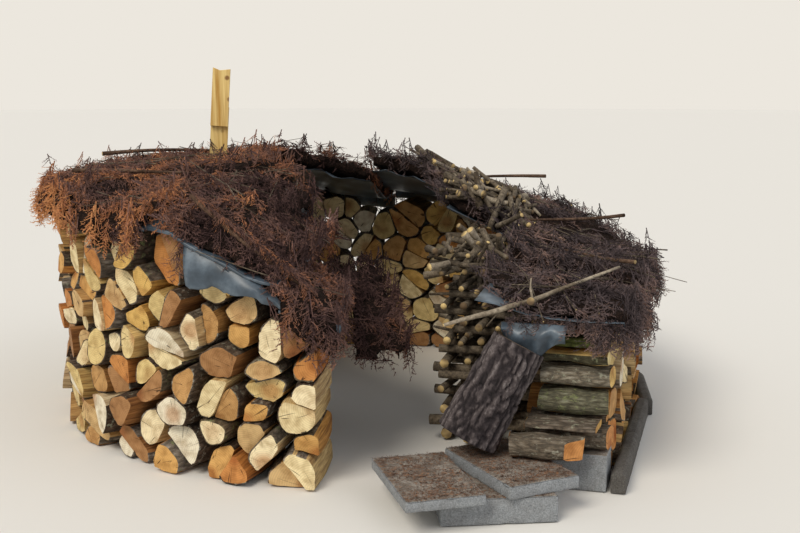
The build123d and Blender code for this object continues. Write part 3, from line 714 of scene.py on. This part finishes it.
def dressBrush(nodeName, plan, chance, sprays):
    # overlapping sprays that lie over the heap, pointing outward and hanging at its edges
    look = brushLook
    count, (low, high), fringeTone, material = plan
    bm = bmesh.new()
    bm.verts.layers.float.new("tone")
    for place, normal in skinSpots(nodeName, count, chance):
        outward = outwardAt(place)
        steep = 1 - max(normal.z, 0)
        isRim = steep > 0.6 and normal.dot(outward) > 0.5
        if isRim and look["flapRun"][0] < runAt(place) < look["flapRun"][1]:
            continue  # the liner's loose flap shows there
        turn = chance.gauss(0, look["rimSpread" if isRim else "topSpread"])
        way = Matrix.Rotation(turn, 3, "Z") @ outward - up * (0.1 + 1.9 * steep)
        way -= normal * way.dot(normal)
        way = (way.normalized() + normal * chance.uniform(*look["rise"])).normalized()
        level = (normal - way * normal.dot(way)).normalized()
        roll = Matrix.Rotation(chance.uniform(-look["roll"], look["roll"]), 4, "X")
        size = chance.uniform(*look["sizes"])
        start = place - way * look["rimTuck" if isRim else "topTuck"] * size
        start += normal * (chance.uniform(*look["lift"]) - look["rimSink"] * isRim)
        patch = 0.5 + 0.9 * noise.noise(place * 5) + chance.uniform(-0.25, 0.25)
        tone = low + (high - low) * patch + fringeTone * isRim
        turn = Matrix((way, level.cross(way), level)).transposed().to_4x4()
        matrix = Matrix.Translation(start) @ turn @ roll @ Matrix.Scale(size, 4)
        addSpray(bm, chance.choice(sprays), matrix, tone)
    if nodeName == "brush_left_front":
        # the fallen bough that lies down the slope keeps its own pale needles
        start, end = (Vector(p) for p in boughLook["ends"])
        along = (end - start).normalized()
        for i in range(boughLook["sprays"]):
            way = (along + Vector([chance.gauss(0, 0.35) for _ in range(3)])).normalized()
            spot = Matrix.Translation(start.lerp(end, i / boughLook["sprays"]) + up * 0.01)
            addSpray(bm, chance.choice(sprays), spot @ hangTurn(way, way.cross(up).normalized())
                     @ Matrix.Scale(boughLook["size"], 4), chance.uniform(*boughLook["tones"]))
    for fringe in fringes:
        if fringe["node"] == nodeName:
            hangFringe(bm, fringe, chance, sprays)
    piece = finishPiece(nodeName.replace("brush", "brushSprays"), bm, [material], smooth=False)
    return settle(piece, nodeName)


def intoBmesh(piece):
    # what an object's modifiers or curve give, as a bmesh in the object's stead
    graph = bpy.context.evaluated_depsgraph_get()
    graph.update()
    mesh = bpy.data.meshes.new_from_object(piece.evaluated_get(graph))
    bpy.data.objects.remove(piece)
    bm = bmesh.new()
    bm.from_mesh(mesh)
    bpy.data.meshes.remove(mesh)
    return bm


thatchLook = {"voxel": 0.024, "rough": 0.018, "sink": 0.014, "coarse": 14, "fine": 37, "smoothing": 4}


def dressThatch(nodeName):
    # the CAD bays of a node melted into one uneven heap
    bm = mergedCopy(nodeName)
    bmesh.ops.recalc_face_normals(bm, faces=bm.faces)
    rawPiece = finishPiece("rawThatch", bm, [])
    melt = rawPiece.modifiers.new("melt", "REMESH")
    melt.mode = "VOXEL"
    melt.voxel_size = thatchLook["voxel"]
    bm = intoBmesh(rawPiece)
    for _ in range(thatchLook["smoothing"]):
        bmesh.ops.smooth_vert(bm, verts=bm.verts, factor=0.5,
                              use_axis_x=True, use_axis_y=True, use_axis_z=True)
    bm.normal_update()
    for vert in bm.verts:
        lump = noise.noise(vert.co * thatchLook["coarse"]) + 0.5 * noise.noise(vert.co * thatchLook["fine"])
        vert.co += vert.normal * (lump * thatchLook["rough"] - thatchLook["sink"])
    piece = finishPiece(nodeName.replace("brush", "brushHeap"), bm, [thatch])
    return settle(piece, nodeName)


allBrush = nodesTree([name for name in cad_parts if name.startswith("brush_")])
# where sprays hang over the edge, along the wall and out from it, and which way they face and lean
fringes = [
    {"node": "brush_left_front", "count": 60, "run": (0.4, 0.66), "out": (0.37, 0.43), "facing": None,
     "lean": 0.25, "sizes": (0.6, 0.95), "tones": (0.0, 0.35)},
    {"node": "brush_right_front", "count": 48, "run": (wallRun - 0.03, wallRun + 0.03), "out": (0.25, 0.43),
     "facing": straightAlong, "lean": 0.5, "sizes": (0.6, 0.95), "tones": (-0.05, 0.4)},
    {"node": "brush_right_front", "count": 60, "run": (wallRun - 0.01, wallRun + 0.03), "out": (-0.16, 0.3),
     "facing": straightAlong, "lean": 0.9, "sizes": (0.35, 0.6), "tones": (0.0, 0.5)},
]
# the bough on the left front slope
boughLook = {"ends": ((-0.6, -1.275, 1.165), (-0.14, -1.405, 0.815)), "sprays": 70, "size": 0.5,
             "tones": (0.1, 0.45)}
# number of sprays, range of their tones, how much brighter the hanging rim is, needles
brushPlan = {
    "brush_front_end": (190, (-0.1, 0.3), 0.05, rustNeedles),
    "brush_front_heap": (150, (-0.1, 0.3), 0.0, rustNeedles),
    "brush_left_front": (340, (-0.1, 0.35), 0.05, rustNeedles),
    "brush_left": (540, (0.06, 0.52), 0.22, rustNeedles),
    "brush_left_back": (350, (0.05, 0.5), 0.2, rustNeedles),
    "brush_back": (440, (-0.05, 0.4), 0.1, rustNeedles),
    "brush_back_right": (350, (-0.05, 0.35), 0.05, greyNeedles),
    "brush_right": (520, (-0.05, 0.4), 0.05, greyNeedles),
    "brush_right_front": (500, (-0.05, 0.4), 0.05, greyNeedles),
}
chance = random.Random(seeds["brush"])
sprays = [makeSpray(chance, sprayLook) for _ in range(sprayLook["variants"])]
for nodeName, plan in brushPlan.items():
    heap = dressThatch(nodeName)
    piece = dressBrush(nodeName, plan, chance, sprays)
    print(nodeName, "dressed:", len(heap.data.polygons), "heap and", len(piece.data.polygons), "spray faces")
for spray in sprays:
    bpy.data.meshes.remove(spray)


# Pond liner: one thin draped sheet under each stretch of brush. Black rubber, faintly glossy, with a
# painted sky reflection: blue-grey, mottled from near black to pale blue-grey in patches about 110 mm across
liner = makeNoisy("skyPaintedPondLiner", 0.38, 0.5, {"Scale": 9, "Detail": 5, "Roughness": 0.55},
                  [(0.3, "#242D35"), (0.75, "#74828D"), (0.5, "#424E59")], relief=(0.35, 0.004))
linerLook = {
    "step": 0.05,
    "columns": 14,
    "reach": 0.381,
    "edgeColumns": 5,
    "edgeDrop": 0.034,
    "backDrop": 0.09,
    "underFlap": 0.012,
    "thickness": 0.0012,
    "wrinkle": 0.006,
    "seam": 0.005,
    "spans": {
        "liner_front_end": (-0.06, 0.12, -0.605),
        "liner_left_front": (0.12, 0.56, -0.605),
        "liner_left": (0.56, 1.593, -0.605),
        "liner_left_back": (1.593, 2.3, -0.605),
        "liner_back": (2.3, 3.5, -0.605),
        "liner_back_right": (3.5, 4.3, -0.605),
        "liner_right": (4.3, arcRun, -0.605),
        "liner_right_front": (arcRun, wallRun + 0.03, -0.2),
    },
}


flapLook = {"from": 0.42, "to": 0.09, "deep": 0.16, "cells": 24, "inset": 0.012, "lift": 0.002}


def edgeDropAt(run):
    # how far the outer edge hangs: lowest round the back, hardly at all behind the loose flap
    if flapLook["to"] < run < flapLook["from"] + 0.2:
        return linerLook["underFlap"]
    return linerLook["backDrop"] if 1.5 < run < 4.5 else linerLook["edgeDrop"]


def newGrid(along, across):
    # a flat grid for a sheet, and its vertices row by row
    bm = bmesh.new()
    bmesh.ops.create_grid(bm, x_segments=along, y_segments=across, size=0.5)
    rows = {}
    for vert in bm.verts:
        rows.setdefault(round(vert.co.x, 4), []).append(vert)
    return bm, [sorted(rows[x], key=lambda v: v.co.y) for x in sorted(rows)]


def finishSheet(name, bm, rows, nodeName):
    # the sheet's flat size, from its longest row and its longest column, and its area are worked out, and
    # nothing uses them
    def longest(lines):
        return max(sum((b.co - a.co).length for a, b in zip(line, line[1:])) for line in lines)

    flat = [round(longest(lines) + linerLook["seam"], 2) for lines in (rows, zip(*rows))]
    area = round(sum(f.calc_area() for f in bm.faces), 3)
    sheet = finishPiece(name, bm, [liner])
    thicken = sheet.modifiers.new("thickness", "SOLIDIFY")
    thicken.thickness = linerLook["thickness"]
    settle(sheet, nodeName)


def dressLiner(nodeName):
    # a sheet laid on the CAD liner's skin, with its outer edge hanging in folds
    look = linerLook
    first, last, near = look["spans"][nodeName]
    bm = mergedCopy(nodeName)
    solid = BVHTree.FromBMesh(bm)
    bm.free()
    columns = look["columns"] + look["edgeColumns"]
    bm, grid = newGrid(max(2, round((last - first) / look["step"])), columns)
    heights = {}
    share = look["columns"] / columns
    for vert in bm.verts:
        run = first + (last - first) * (vert.co.x + 0.5)
        across = vert.co.y + 0.5
        out = near + (look["reach"] - near) * min(across / share, 1)
        spot = wallPoint(run, out * 0.997)
        hit = solid.ray_cast(spot + up * 2, -up)
        height = hit[0].z if hit[0] else solid.find_nearest(spot + up)[0].z
        heights[vert] = (run, out, max(across - share, 0) / (1 - share), height)
    smoothed = {}
    for column in zip(*grid):
        for i, vert in enumerate(column):
            nearby = column[max(i - 1, 0):i + 2]
            smoothed[vert] = sum(heights[v][3] for v in nearby) / len(nearby)
    for vert, (run, out, fall, height) in heights.items():
        wave = noise.noise(Vector((run * 9, out * 9, 3))) * look["wrinkle"]
        drop = edgeDropAt(run) * fall
        fold = 0.5 + 0.5 * math.sin(run * 52 + 4 * noise.noise(Vector((run * 6, fall * 2, 8))))
        swing = 0.004 + (0.016 * fold - 0.004) * fall * min(drop / 0.08, 1)
        place = wallPoint(run, out + (swing if fall else 0))
        vert.co = place + up * (smoothed[vert] + wave * (1 - fall) - drop)
    finishSheet(nodeName.replace("liner", "linerSheet"), bm, grid, nodeName)


for nodeName in linerLook["spans"]:
    dressLiner(nodeName)

# The loose flap that hangs out from under the brush at the left front, deepest at its left edge
frontLiner = nodesTree(["liner_front_end", "liner_left_front"])
flapOut = linerLook["reach"] - flapLook["inset"]


def flapTop(run):
    # height of the liner's edge, evened out along the wall
    hits = [frontLiner.ray_cast(wallPoint(run + step, flapOut, 2), -up)[0] for step in (-0.05, 0, 0.05)]
    found = [hit.z for hit in hits if hit]
    return sum(found) / len(found)


bm, rows = newGrid(flapLook["cells"], flapLook["cells"])
for vert in bm.verts:
    a, b = vert.co.x + 0.5, vert.co.y + 0.5
    run = flapLook["from"] + (flapLook["to"] - flapLook["from"]) * a - 0.02 * b * (1 - a)
    crease = 0.5 + 0.5 * math.sin(a * 11 + b * 1.5)
    out = flapOut + b * (0.014 + 0.022 * crease) + 0.012 * math.sin(math.pi * b)
    fall = flapLook["deep"] * (1 - a) ** 0.75 * (1 + 0.08 * math.sin(a * 17)) * b
    vert.co = wallPoint(run, out, flapTop(run) + flapLook["lift"] - fall)
finishSheet("linerSheet_flap", bm, rows, "liner_left_front")

# The loose end of the liner that droops over the front of the pile, between butt and pier
droopLook = {"from": -0.09, "to": 0.17, "height": 0.668, "length": 0.15, "cells": 26, "ahead": 0.034}
bm, rows = newGrid(droopLook["cells"], droopLook["cells"])
for vert in bm.verts:
    a, b = vert.co.x + 0.5, vert.co.y + 0.5
    out = droopLook["from"] + (droopLook["to"] - droopLook["from"]) * a
    hang = droopLook["length"] * (0.5 + 0.5 * math.sin(math.pi * min(a * 1.15, 1)) ** 1.5)
    billow = 0.03 * math.sin(math.pi * b) + 0.012 * math.sin(a * 19 + b * 5) * b
    slack = 0.012 * math.sin(math.pi * a) + 0.03 * (1 - a) * b
    height = droopLook["height"] - hang * b + slack * math.sin(math.pi * b)
    vert.co = wallPoint(wallRun + droopLook["ahead"] + billow, out - 0.02 * b * (a - 0.5), height)
finishSheet("linerSheet_droop", bm, rows, "liner_right_front")
print("liner draped")


# Branch wood, the long branch and the bough stems, as tapering bent sticks
def makeBranchBark(name, dark, light):
    # thin dry bark of branches: streaked about every 14 mm, with weathered patches
    return makeNoisy(name, 0.88, 0.2, {"Scale": 70, "Detail": 7, "Roughness": 0.7},
                     [(0.32, dark), (0.68, light)], relief=(0.7, 0.003),
                     stain=(0.8, {"Scale": 7, "Detail": 3}, [(0.35, "#8A7F72"), (0.62, "#FFFFFF")]))


branchBark = makeBranchBark("dryBranchBark", "#2F2822", "#8A7D6A")
paleBark = makeBranchBark("paleStickBark", "#6B5F50", "#BDB09A")
stemBark = makeBranchBark("brownBoughBark", "#33241B", "#7D6350")
# sawn ends of branches: most weathered grey-brown, some still yellow, in patches of 90 mm
cutEnd = makeNoisy("sawnBranchEnd", 0.8, 0.2, {"Scale": 11, "Detail": 2},
                   [(0.42, "#6B5842"), (0.62, "#DDC084")])


def stickPiece(name, sticks, materials, nodeName=None, sides=2, roughness=0.001):
    # sticks are lists of (point, radius); every one becomes a capped tube along a smooth curve
    curve = bpy.data.curves.new(name, "CURVE")
    curve.dimensions = "3D"
    curve.bevel_depth = 1.0
    curve.bevel_resolution = sides
    curve.resolution_u = 3
    curve.use_fill_caps = True
    for stick in sticks:
        spline = curve.splines.new("NURBS")
        spline.points.add(len(stick) - 1)
        for point, (place, radius) in zip(spline.points, stick):
            point.co = (*place, 1)
            point.radius = radius
        spline.order_u = 3
        spline.use_endpoint_u = True
    tube = bpy.data.objects.new(name, curve)
    bpy.context.scene.collection.objects.link(tube)
    bm = intoBmesh(tube)
    for part in looseParts(bm):
        isCap = len(part) <= 4 + 2 * sides
        for face in facesOf(part):
            face.material_index = isCap
    bmesh.ops.remove_doubles(bm, verts=bm.verts, dist=0.00002)
    bmesh.ops.recalc_face_normals(bm, faces=bm.faces)
    bm.normal_update()
    for vert in bm.verts:
        if not any(f.material_index for f in vert.link_faces):
            vert.co += vert.normal * roughness * noise.noise(vert.co * 60)
    settle(finishPiece(name, bm, materials), nodeName)


def bentStick(start, end, radius, tip, chance):
    # points and radii of a stick that strays from its line by up to a forty-fifth of its length
    line = end - start
    bend = 0.022 * line.length
    side = line.cross(up) if line.cross(up).length > 0.01 else line.cross(Vector((1, 0, 0)))
    side.normalize()
    lift = side.cross(line).normalized()
    points = []
    for share in (0, 0.3, 0.7, 1):
        off = side * chance.uniform(-bend, bend) + lift * chance.uniform(-bend, bend)
        spot = start + line * share + (off if 0 < share < 1 else off * 0)
        points.append((spot, radius + (tip - radius) * share))
    return points


def sticksOf(nodeName):
    # the middles and radii of both end faces of every stick in a CAD node
    bm = mergedCopy(nodeName)
    found = []
    for part in looseParts(bm):
        corners = np.array([v.co for v in part])
        middle = Vector(corners.mean(axis=0))
        axis = Vector(np.linalg.eigh(np.cov(corners.T))[1][:, 2])
        caps = [f for f in facesOf(part) if abs(f.normal.dot(axis)) > 0.93]
        ends = []
        for side in (-1, 1):
            rim = dict.fromkeys(v for f in caps for v in f.verts if (v.co - middle).dot(axis) * side > 0)
            centre = sum((v.co for v in rim), Vector()) / len(rim)
            ends.append((centre, sum((v.co - centre).length for v in rim) / len(rim)))
        found.append((ends[0][0], ends[1][0], ends[0][1], ends[1][1]))
    bm.free()
    return found


chance = random.Random(seeds["sticks"])
for nodeName in ("branches_across", "branches_lengthwise"):
    sticks = []
    for start, end, radius, tip in sticksOf(nodeName):
        size = chance.uniform(0.62, 0.86)
        sticks.append(bentStick(start, end, radius * size, tip * size * chance.uniform(0.7, 1), chance))
    name = nodeName.replace("branches", "dryBranches")
    stickPiece(name, sticks, [branchBark, cutEnd], nodeName, roughness=0.0015)

# Sticks thrown loose on top: over the pile and over the brush's inner edge beside it
pileLook = {
    "count": 230,
    "x": (0.36, 0.92),
    "y": (-1.0, 0.5),
    "hollow": 0.47,
    "lowest": 0.4,
    "outer": 0.62,
    "ragged": 0.22,
    "radii": (0.006, 0.008, 0.011, 0.014, 0.018),
    "length": (0.1, 0.36),
    "probe": 0.07,
    "steepest": 1.3,
    "lift": (-0.01, 0.05),
    "bark": 0.0008,
}
under = nodesTree(["brush_right", "brush_right_front", "brush_back_right", "branches_across",
                   "branches_lengthwise"])
sticks = []
while len(sticks) < pileLook["count"]:
    spot = Vector((chance.uniform(*pileLook["x"]), chance.uniform(*pileLook["y"]), 2))
    ground = under.ray_cast(spot, -up)
    if Vector(spot.xy).length < pileLook["hollow"] or not ground[0] or ground[0].z < pileLook["lowest"]:
        continue
    # the pile thins out over the brush beside it
    if spot.x > pileLook["outer"] + pileLook["ragged"] * chance.random() + 0.25 * (spot.y + 0.4):
        continue
    radius = chance.choice(pileLook["radii"])
    way = levelWay(chance.uniform(0, 2 * math.pi))
    # it lies along the slope under it
    probe = way * pileLook["probe"]
    behind, ahead = (under.ray_cast(spot + step, -up)[0] for step in (-probe, probe))
    slope = (ahead.z - behind.z) / probe.length / 2 if ahead and behind else 0
    way.z = max(min(slope, pileLook["steepest"]), -pileLook["steepest"]) + chance.gauss(0, 0.16)
    way.normalize()
    half = way * chance.uniform(*pileLook["length"]) * (0.4 + 22 * radius) / 2
    middle = ground[0] + up * (radius + chance.uniform(*pileLook["lift"]))
    sticks.append(bentStick(middle - half, middle + half, radius, radius * 0.75, chance))
stickPiece("looseBranches", sticks[::2] + sticks[1::4], [branchBark, cutEnd], roughness=pileLook["bark"])
stickPiece("paleBranches", sticks[3::4], [paleBark, cutEnd], roughness=pileLook["bark"])

stems = [bentStick(a, b, r * 0.8, t * 0.8, chance) for a, b, r, t in sticksOf("bough_stems")]
stickPiece("boughStems", stems, [stemBark, cutEnd], "bough_stems")

# Thin bare twigs lying all over the brush
twigLook = {
    "tries": 230,
    "run": (-0.05, wallRun),
    "out": (-0.55, 0.4),
    "hollow": 0.5,
    "radius": (0.0016, 0.004),
    "halfLength": (0.06, 0.2),
    "lift": (0.005, 0.028),
}
twigs = []
for _ in range(twigLook["tries"]):
    place = wallPoint(chance.uniform(*twigLook["run"]), chance.uniform(*twigLook["out"]), 2)
    ground = allBrush.ray_cast(place, -up)
    if not ground[0] or Vector(place.xy).length < twigLook["hollow"]:
        continue
    way = levelWay(chance.uniform(0, 2 * math.pi))
    way = (way - ground[1] * way.dot(ground[1]) + up * chance.uniform(-0.06, 0.14)).normalized()
    radius = chance.uniform(*twigLook["radius"])
    half = way * chance.uniform(*twigLook["halfLength"])
    middle = ground[0] + up * chance.uniform(*twigLook["lift"])
    twigs.append(bentStick(middle - half, middle + half, radius, radius * 0.5, chance))
stickPiece("bareTwigs", twigs, [branchBark, cutEnd], sides=1, roughness=0.0005)
print("branch wood made")


# Butt of a trunk in deeply fissured bark
def makeButtBark():
    # old fissured bark: near black in the grooves as painted shade, purple-grey on the ridges, grained at 11
    # mm
    material, tree = newMaterial("fissuredButtBark", roughness=0.92, specular=0.2)
    place = addNode(tree, "TexCoord", output="Object")
    height = addNode(tree, "Attribute", output="Fac", attribute_name="ridge")
    fine = addNode(tree, "TexNoise", {"Vector": place, "Scale": 90, "Detail": 7, "Roughness": 0.7})
    mixed = addNode(tree, "Math", {0: fine, 1: 0.6, 2: height}, operation="MULTIPLY_ADD")
    colours = addNode(tree, "ValToRGB", {0: mixed},
                      stops=[(0.28, "#121012"), (1.0, "#827A78"), (0.6, "#352F30"), (0.82, "#58504F")])
    return finishMaterial(material, colours, fine, 0.9, 0.006)


buttLook = {"sides": 110, "cuts": 60, "fissure": 0.015, "barkDepth": 0.014}
(start, end, radius, tip), = sticksOf("leaning_butt")
bm = bmesh.new()
bmesh.ops.create_cone(bm, cap_ends=True, segments=buttLook["sides"], radius1=radius, radius2=tip,
                      depth=(end - start).length)
lengthwise = [e for e in bm.edges if abs(e.verts[0].co.z - e.verts[1].co.z) > 0.1]
bmesh.ops.subdivide_edges(bm, edges=lengthwise, cuts=buttLook["cuts"])
caps = [f for f in bm.faces if len(f.verts) > 4]
bmesh.ops.inset_individual(bm, faces=caps, thickness=buttLook["barkDepth"])
ridgeLayer = bm.verts.layers.float.new("ridge")
grainLayer = bm.verts.layers.float_vector.new("grain")
woodLayer = bm.verts.layers.float_color.new("woodTint")
bm.normal_update()
for face in bm.faces:
    face.material_index = 1 if len(face.verts) > 4 else 0
for vert in bm.verts:
    x, y, z = vert.co
    vert[grainLayer] = (x, y, z)
    vert[woodLayer] = withAlpha("#6A5A4C", 0.4)
    if any(len(f.verts) > 4 for f in vert.link_faces):
        continue
    bark = Vector((x * 34, y * 34, z * 6)) + 0.5 * noise.noise_vector(Vector((x * 20, y * 20, z * 20)))
    ridge = min(abs(noise.noise(bark)) * 3.4, 1) * 0.7 + 0.3 * min(abs(noise.noise(bark * 2.7)) * 3, 1)
    lump = noise.noise(Vector((x * 7, y * 7, z * 4)))
    # the ridge height also sets the bark's colour: painted shade in the grooves
    vert[ridgeLayer] = 0.6 * ridge
    vert.co -= Vector((x, y, 0)).normalized() * buttLook["fissure"] * (1.15 - ridge - 0.5 * lump)
bmesh.ops.transform(bm, matrix=spanPlace(start, end), verts=bm.verts)
bmesh.ops.recalc_face_normals(bm, faces=bm.faces)
settle(finishPiece("leaningButt", bm, [makeButtBark(), endGrain]), "leaning_butt")
print("butt made")


# Concrete: worn edges, and brown needles lying on what is level
def makeConcrete(name, dark, light, brownShare):
    # cast concrete: cement grey with sand grains, drawn at 6 mm so that they show, and brown stain
    return makeNoisy(name, 0.92, 0.25, {"Scale": 180, "Detail": 6, "Roughness": 0.7},
                     [(0.3, dark), (0.7, light)], relief=(0.7, 0.003),
                     stain=(brownShare, {"Scale": 14, "Detail": 8, "Roughness": 0.75},
                            [(0.4, "#7A6250"), (0.6, "#FFFFFF")]))


slabSide = makeConcrete("castConcrete", "#696D70", "#AAADAE", 0.25)
slabTop = makeConcrete("stainedConcrete", "#6E675F", "#B1A89B", 0.6)
# the kerbs' concrete is darker all over: painted shade
shadedKerbGrey = makeConcrete("shadeDarkenedKerbConcrete", "#413F3C", "#73706B", 0.4)


def softenedCopy(nodeName, edge):
    # a CAD node without its needless edges, the others rounded
    bm = mergedCopy(nodeName)
    bmesh.ops.dissolve_limit(bm, angle_limit=0.02, verts=bm.verts, edges=bm.edges)
    bmesh.ops.bevel(bm, geom=bm.edges, affect="EDGES", offset=edge, segments=2, profile=0.5, material=-1)
    return bm


concreteLook = {"edge": 0.004, "chipScale": 31, "chipDepth": 0.008, "grainScale": 55, "grainDepth": 0.0008}


def dressConcrete(nodeName, materials, cut):
    # a cast block, cut fine enough to chip its edges
    look = concreteLook
    bm = softenedCopy(nodeName, look["edge"])
    bmesh.ops.triangulate(bm, faces=[f for f in bm.faces if len(f.verts) > 4])
    for _ in range(6):
        long = [e for e in bm.edges if e.calc_length() > cut]
        if not long:
            break
        bmesh.ops.subdivide_edges(bm, edges=long, cuts=1)
        bmesh.ops.triangulate(bm, faces=[f for f in bm.faces if len(f.verts) > 4])
    bm.normal_update()
    for face in bm.faces:
        face.material_index = 1 if face.normal.z > 0.85 and len(materials) > 1 else 0
    for vert in bm.verts:
        isEdge = len({round(f.normal.z, 1) for f in vert.link_faces}) > 1
        chip = max(noise.noise(vert.co * look["chipScale"]) - 0.25, 0) * look["chipDepth"] * isEdge
        vert.co += vert.normal * (look["grainDepth"] * noise.noise(vert.co * look["grainScale"]) - chip)
    settle(finishPiece(nodeName.replace("_", "Worn_", 1), bm, materials), nodeName)


for nodeName in ("slab_left", "slab_right", "foundation_block", "pier_block"):
    dressConcrete(nodeName, [slabSide, slabTop], cut=0.03)
for nodeName in ("kerbs_left_back", "kerbs_back", "kerbs_right", "kerbs_right_front"):
    dressConcrete(nodeName, [shadedKerbGrey], cut=0.06)


litterLook = {"count": 3800, "length": (0.007, 0.026), "width": 0.0022}
# fallen needles and crumbs of bark, dry and matt, fresh or rotted in patches of 20 mm
litter = makeNoisy("fallenNeedles", 0.9, 0.1, {"Scale": 50, "Detail": 2},
                   [(0.3, "#3A2C24"), (0.7, "#A87C5A"), (0.5, "#6E5040")])
for nodeName in ("slab_left", "slab_right", "foundation_block"):
    raw = mergedCopy(nodeName)
    topFaces = [f for f in raw.faces if f.normal.z > 0.95]
    bm = bmesh.new()
    for face in chance.choices(topFaces, [f.calc_area() for f in topFaces], k=litterLook["count"]):
        place = spotOn(face, chance) + up * chance.uniform(0.0005, 0.003)
        if noise.noise(place * 9) < chance.uniform(-0.7, 0.3):
            continue
        way = levelWay(chance.uniform(0, 2 * math.pi)) + up * chance.uniform(-0.05, 0.2)
        half = way.cross(up).normalized() * litterLook["width"] / 2
        addNeedle(bm, place, half, place + way * chance.uniform(*litterLook["length"]))
    raw.free()
    settle(finishPiece("needleLitter_" + nodeName, bm, [litter], smooth=False))
print("concrete and litter made")


# Upright boards
def makeBoard():
    # planed yellow pine: long grain with darker bands 14 mm wide and a few knots about 110 mm apart
    material, tree = newMaterial("planedYellowPine", roughness=0.6, specular=0.35)
    place = addNode(tree, "TexCoord", output="Object")
    stretched = addNode(tree, "Mapping", {0: place, 3: (1, 1, 0.05)})
    bands = addNode(tree, "TexNoise", {"Vector": stretched, "Scale": 70, "Detail": 4})
    knots = addNode(tree, "TexVoronoi", {"Vector": place, "Scale": 9})
    colours = addNode(tree, "ValToRGB", {0: bands}, stops=[(0.3, "#B98B40"), (0.7, "#F0D38C")])
    knotShade = addNode(tree, "ValToRGB", {0: knots}, stops=[(0.07, "#7A4A22"), (0.13, "#FFFFFF")])
    mixed = addNode(tree, "Mix", {0: 0.8, 6: colours, 7: knotShade}, **multiply)
    return finishMaterial(material, mixed, bands, 0.3, 0.001)


boardLook = {
    "edge": 0.0012,
    "screws": ((-0.705, -0.0432, 1.243), (-0.683, -0.0442, 1.25)),
    "screwRadius": 0.0045,
    "screwRim": 0.0035,
    "screwHeight": 0.002,
}
pine = makeBoard()
for nodeName in ("upright_board_lower", "upright_board_upper"):
    bm = softenedCopy(nodeName, boardLook["edge"])
    piece = finishPiece(nodeName.replace("upright_board", "pineBoard"), bm, [pine], smooth=False)
    settle(piece, nodeName)

# Two screws in the lower board, seen from the front
bm = bmesh.new()
for spot in boardLook["screws"]:
    turn = Matrix.Translation(spot) @ Matrix.Rotation(math.radians(90), 4, "X")
    bmesh.ops.create_cone(bm, cap_ends=True, segments=12, radius1=boardLook["screwRadius"],
                          radius2=boardLook["screwRim"], depth=boardLook["screwHeight"], matrix=turn)
# plated steel gone brown: dull, with a little shine left
screwSteel = newMaterial("rustyScrewSteel", roughness=0.6, specular=0.5, colour="#4A3A2E", metallic=1.0)[0]
settle(finishPiece("boardScrews", bm, [screwSteel]))
print("boards made")

# Long dead branch: the CAD's own route, dropped to where it rests
branchLook = {
    "route": [(1.128, -1.15, 1.115), (0.741, -1.35, 1.01), (0.556, -1.43, 0.979), (0.395, -1.5, 0.947)],
    "routeRadii": [0.005, 0.0105, 0.0105, 0.0065],
    "stub": [(0.75, -1.345, 1.008), (0.745, -1.37, 1.014), (0.738, -1.396, 1.02)],
    "stubRadii": [0.0165, 0.016, 0.016],
    "twig": [(0.753, -1.35, 1.014), (0.742, -1.342, 1.06), (0.745, -1.34, 1.102)],
    "twigRadii": [0.006, 0.004, 0.0025],
    "lowest": 0.9403,
}
drop = min(v.co.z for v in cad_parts["long_branch"].data.vertices) - branchLook["lowest"]
sticks = []
for limb in ("route", "stub", "twig"):
    points, radii = branchLook[limb], branchLook[limb + "Radii"]
    spots = [Vector(spot) + up * drop for spot in points]
    fine = []
    for a, b, thick, thin in zip(spots, spots[1:], radii, radii[1:]):
        fine += [(a.lerp(b, share), thick + (thin - thick) * share) for share in (0, 0.3, 0.6)]
    wavering = [(spot + up * chance.uniform(-0.004, 0.004), radius) for spot, radius in fine]
    sticks.append(wavering + [(spots[-1], radii[-1])])
stickPiece("longBranch", sticks, [paleBark, cutEnd], "long_branch", sides=3, roughness=0.0012)
print("long branch made")
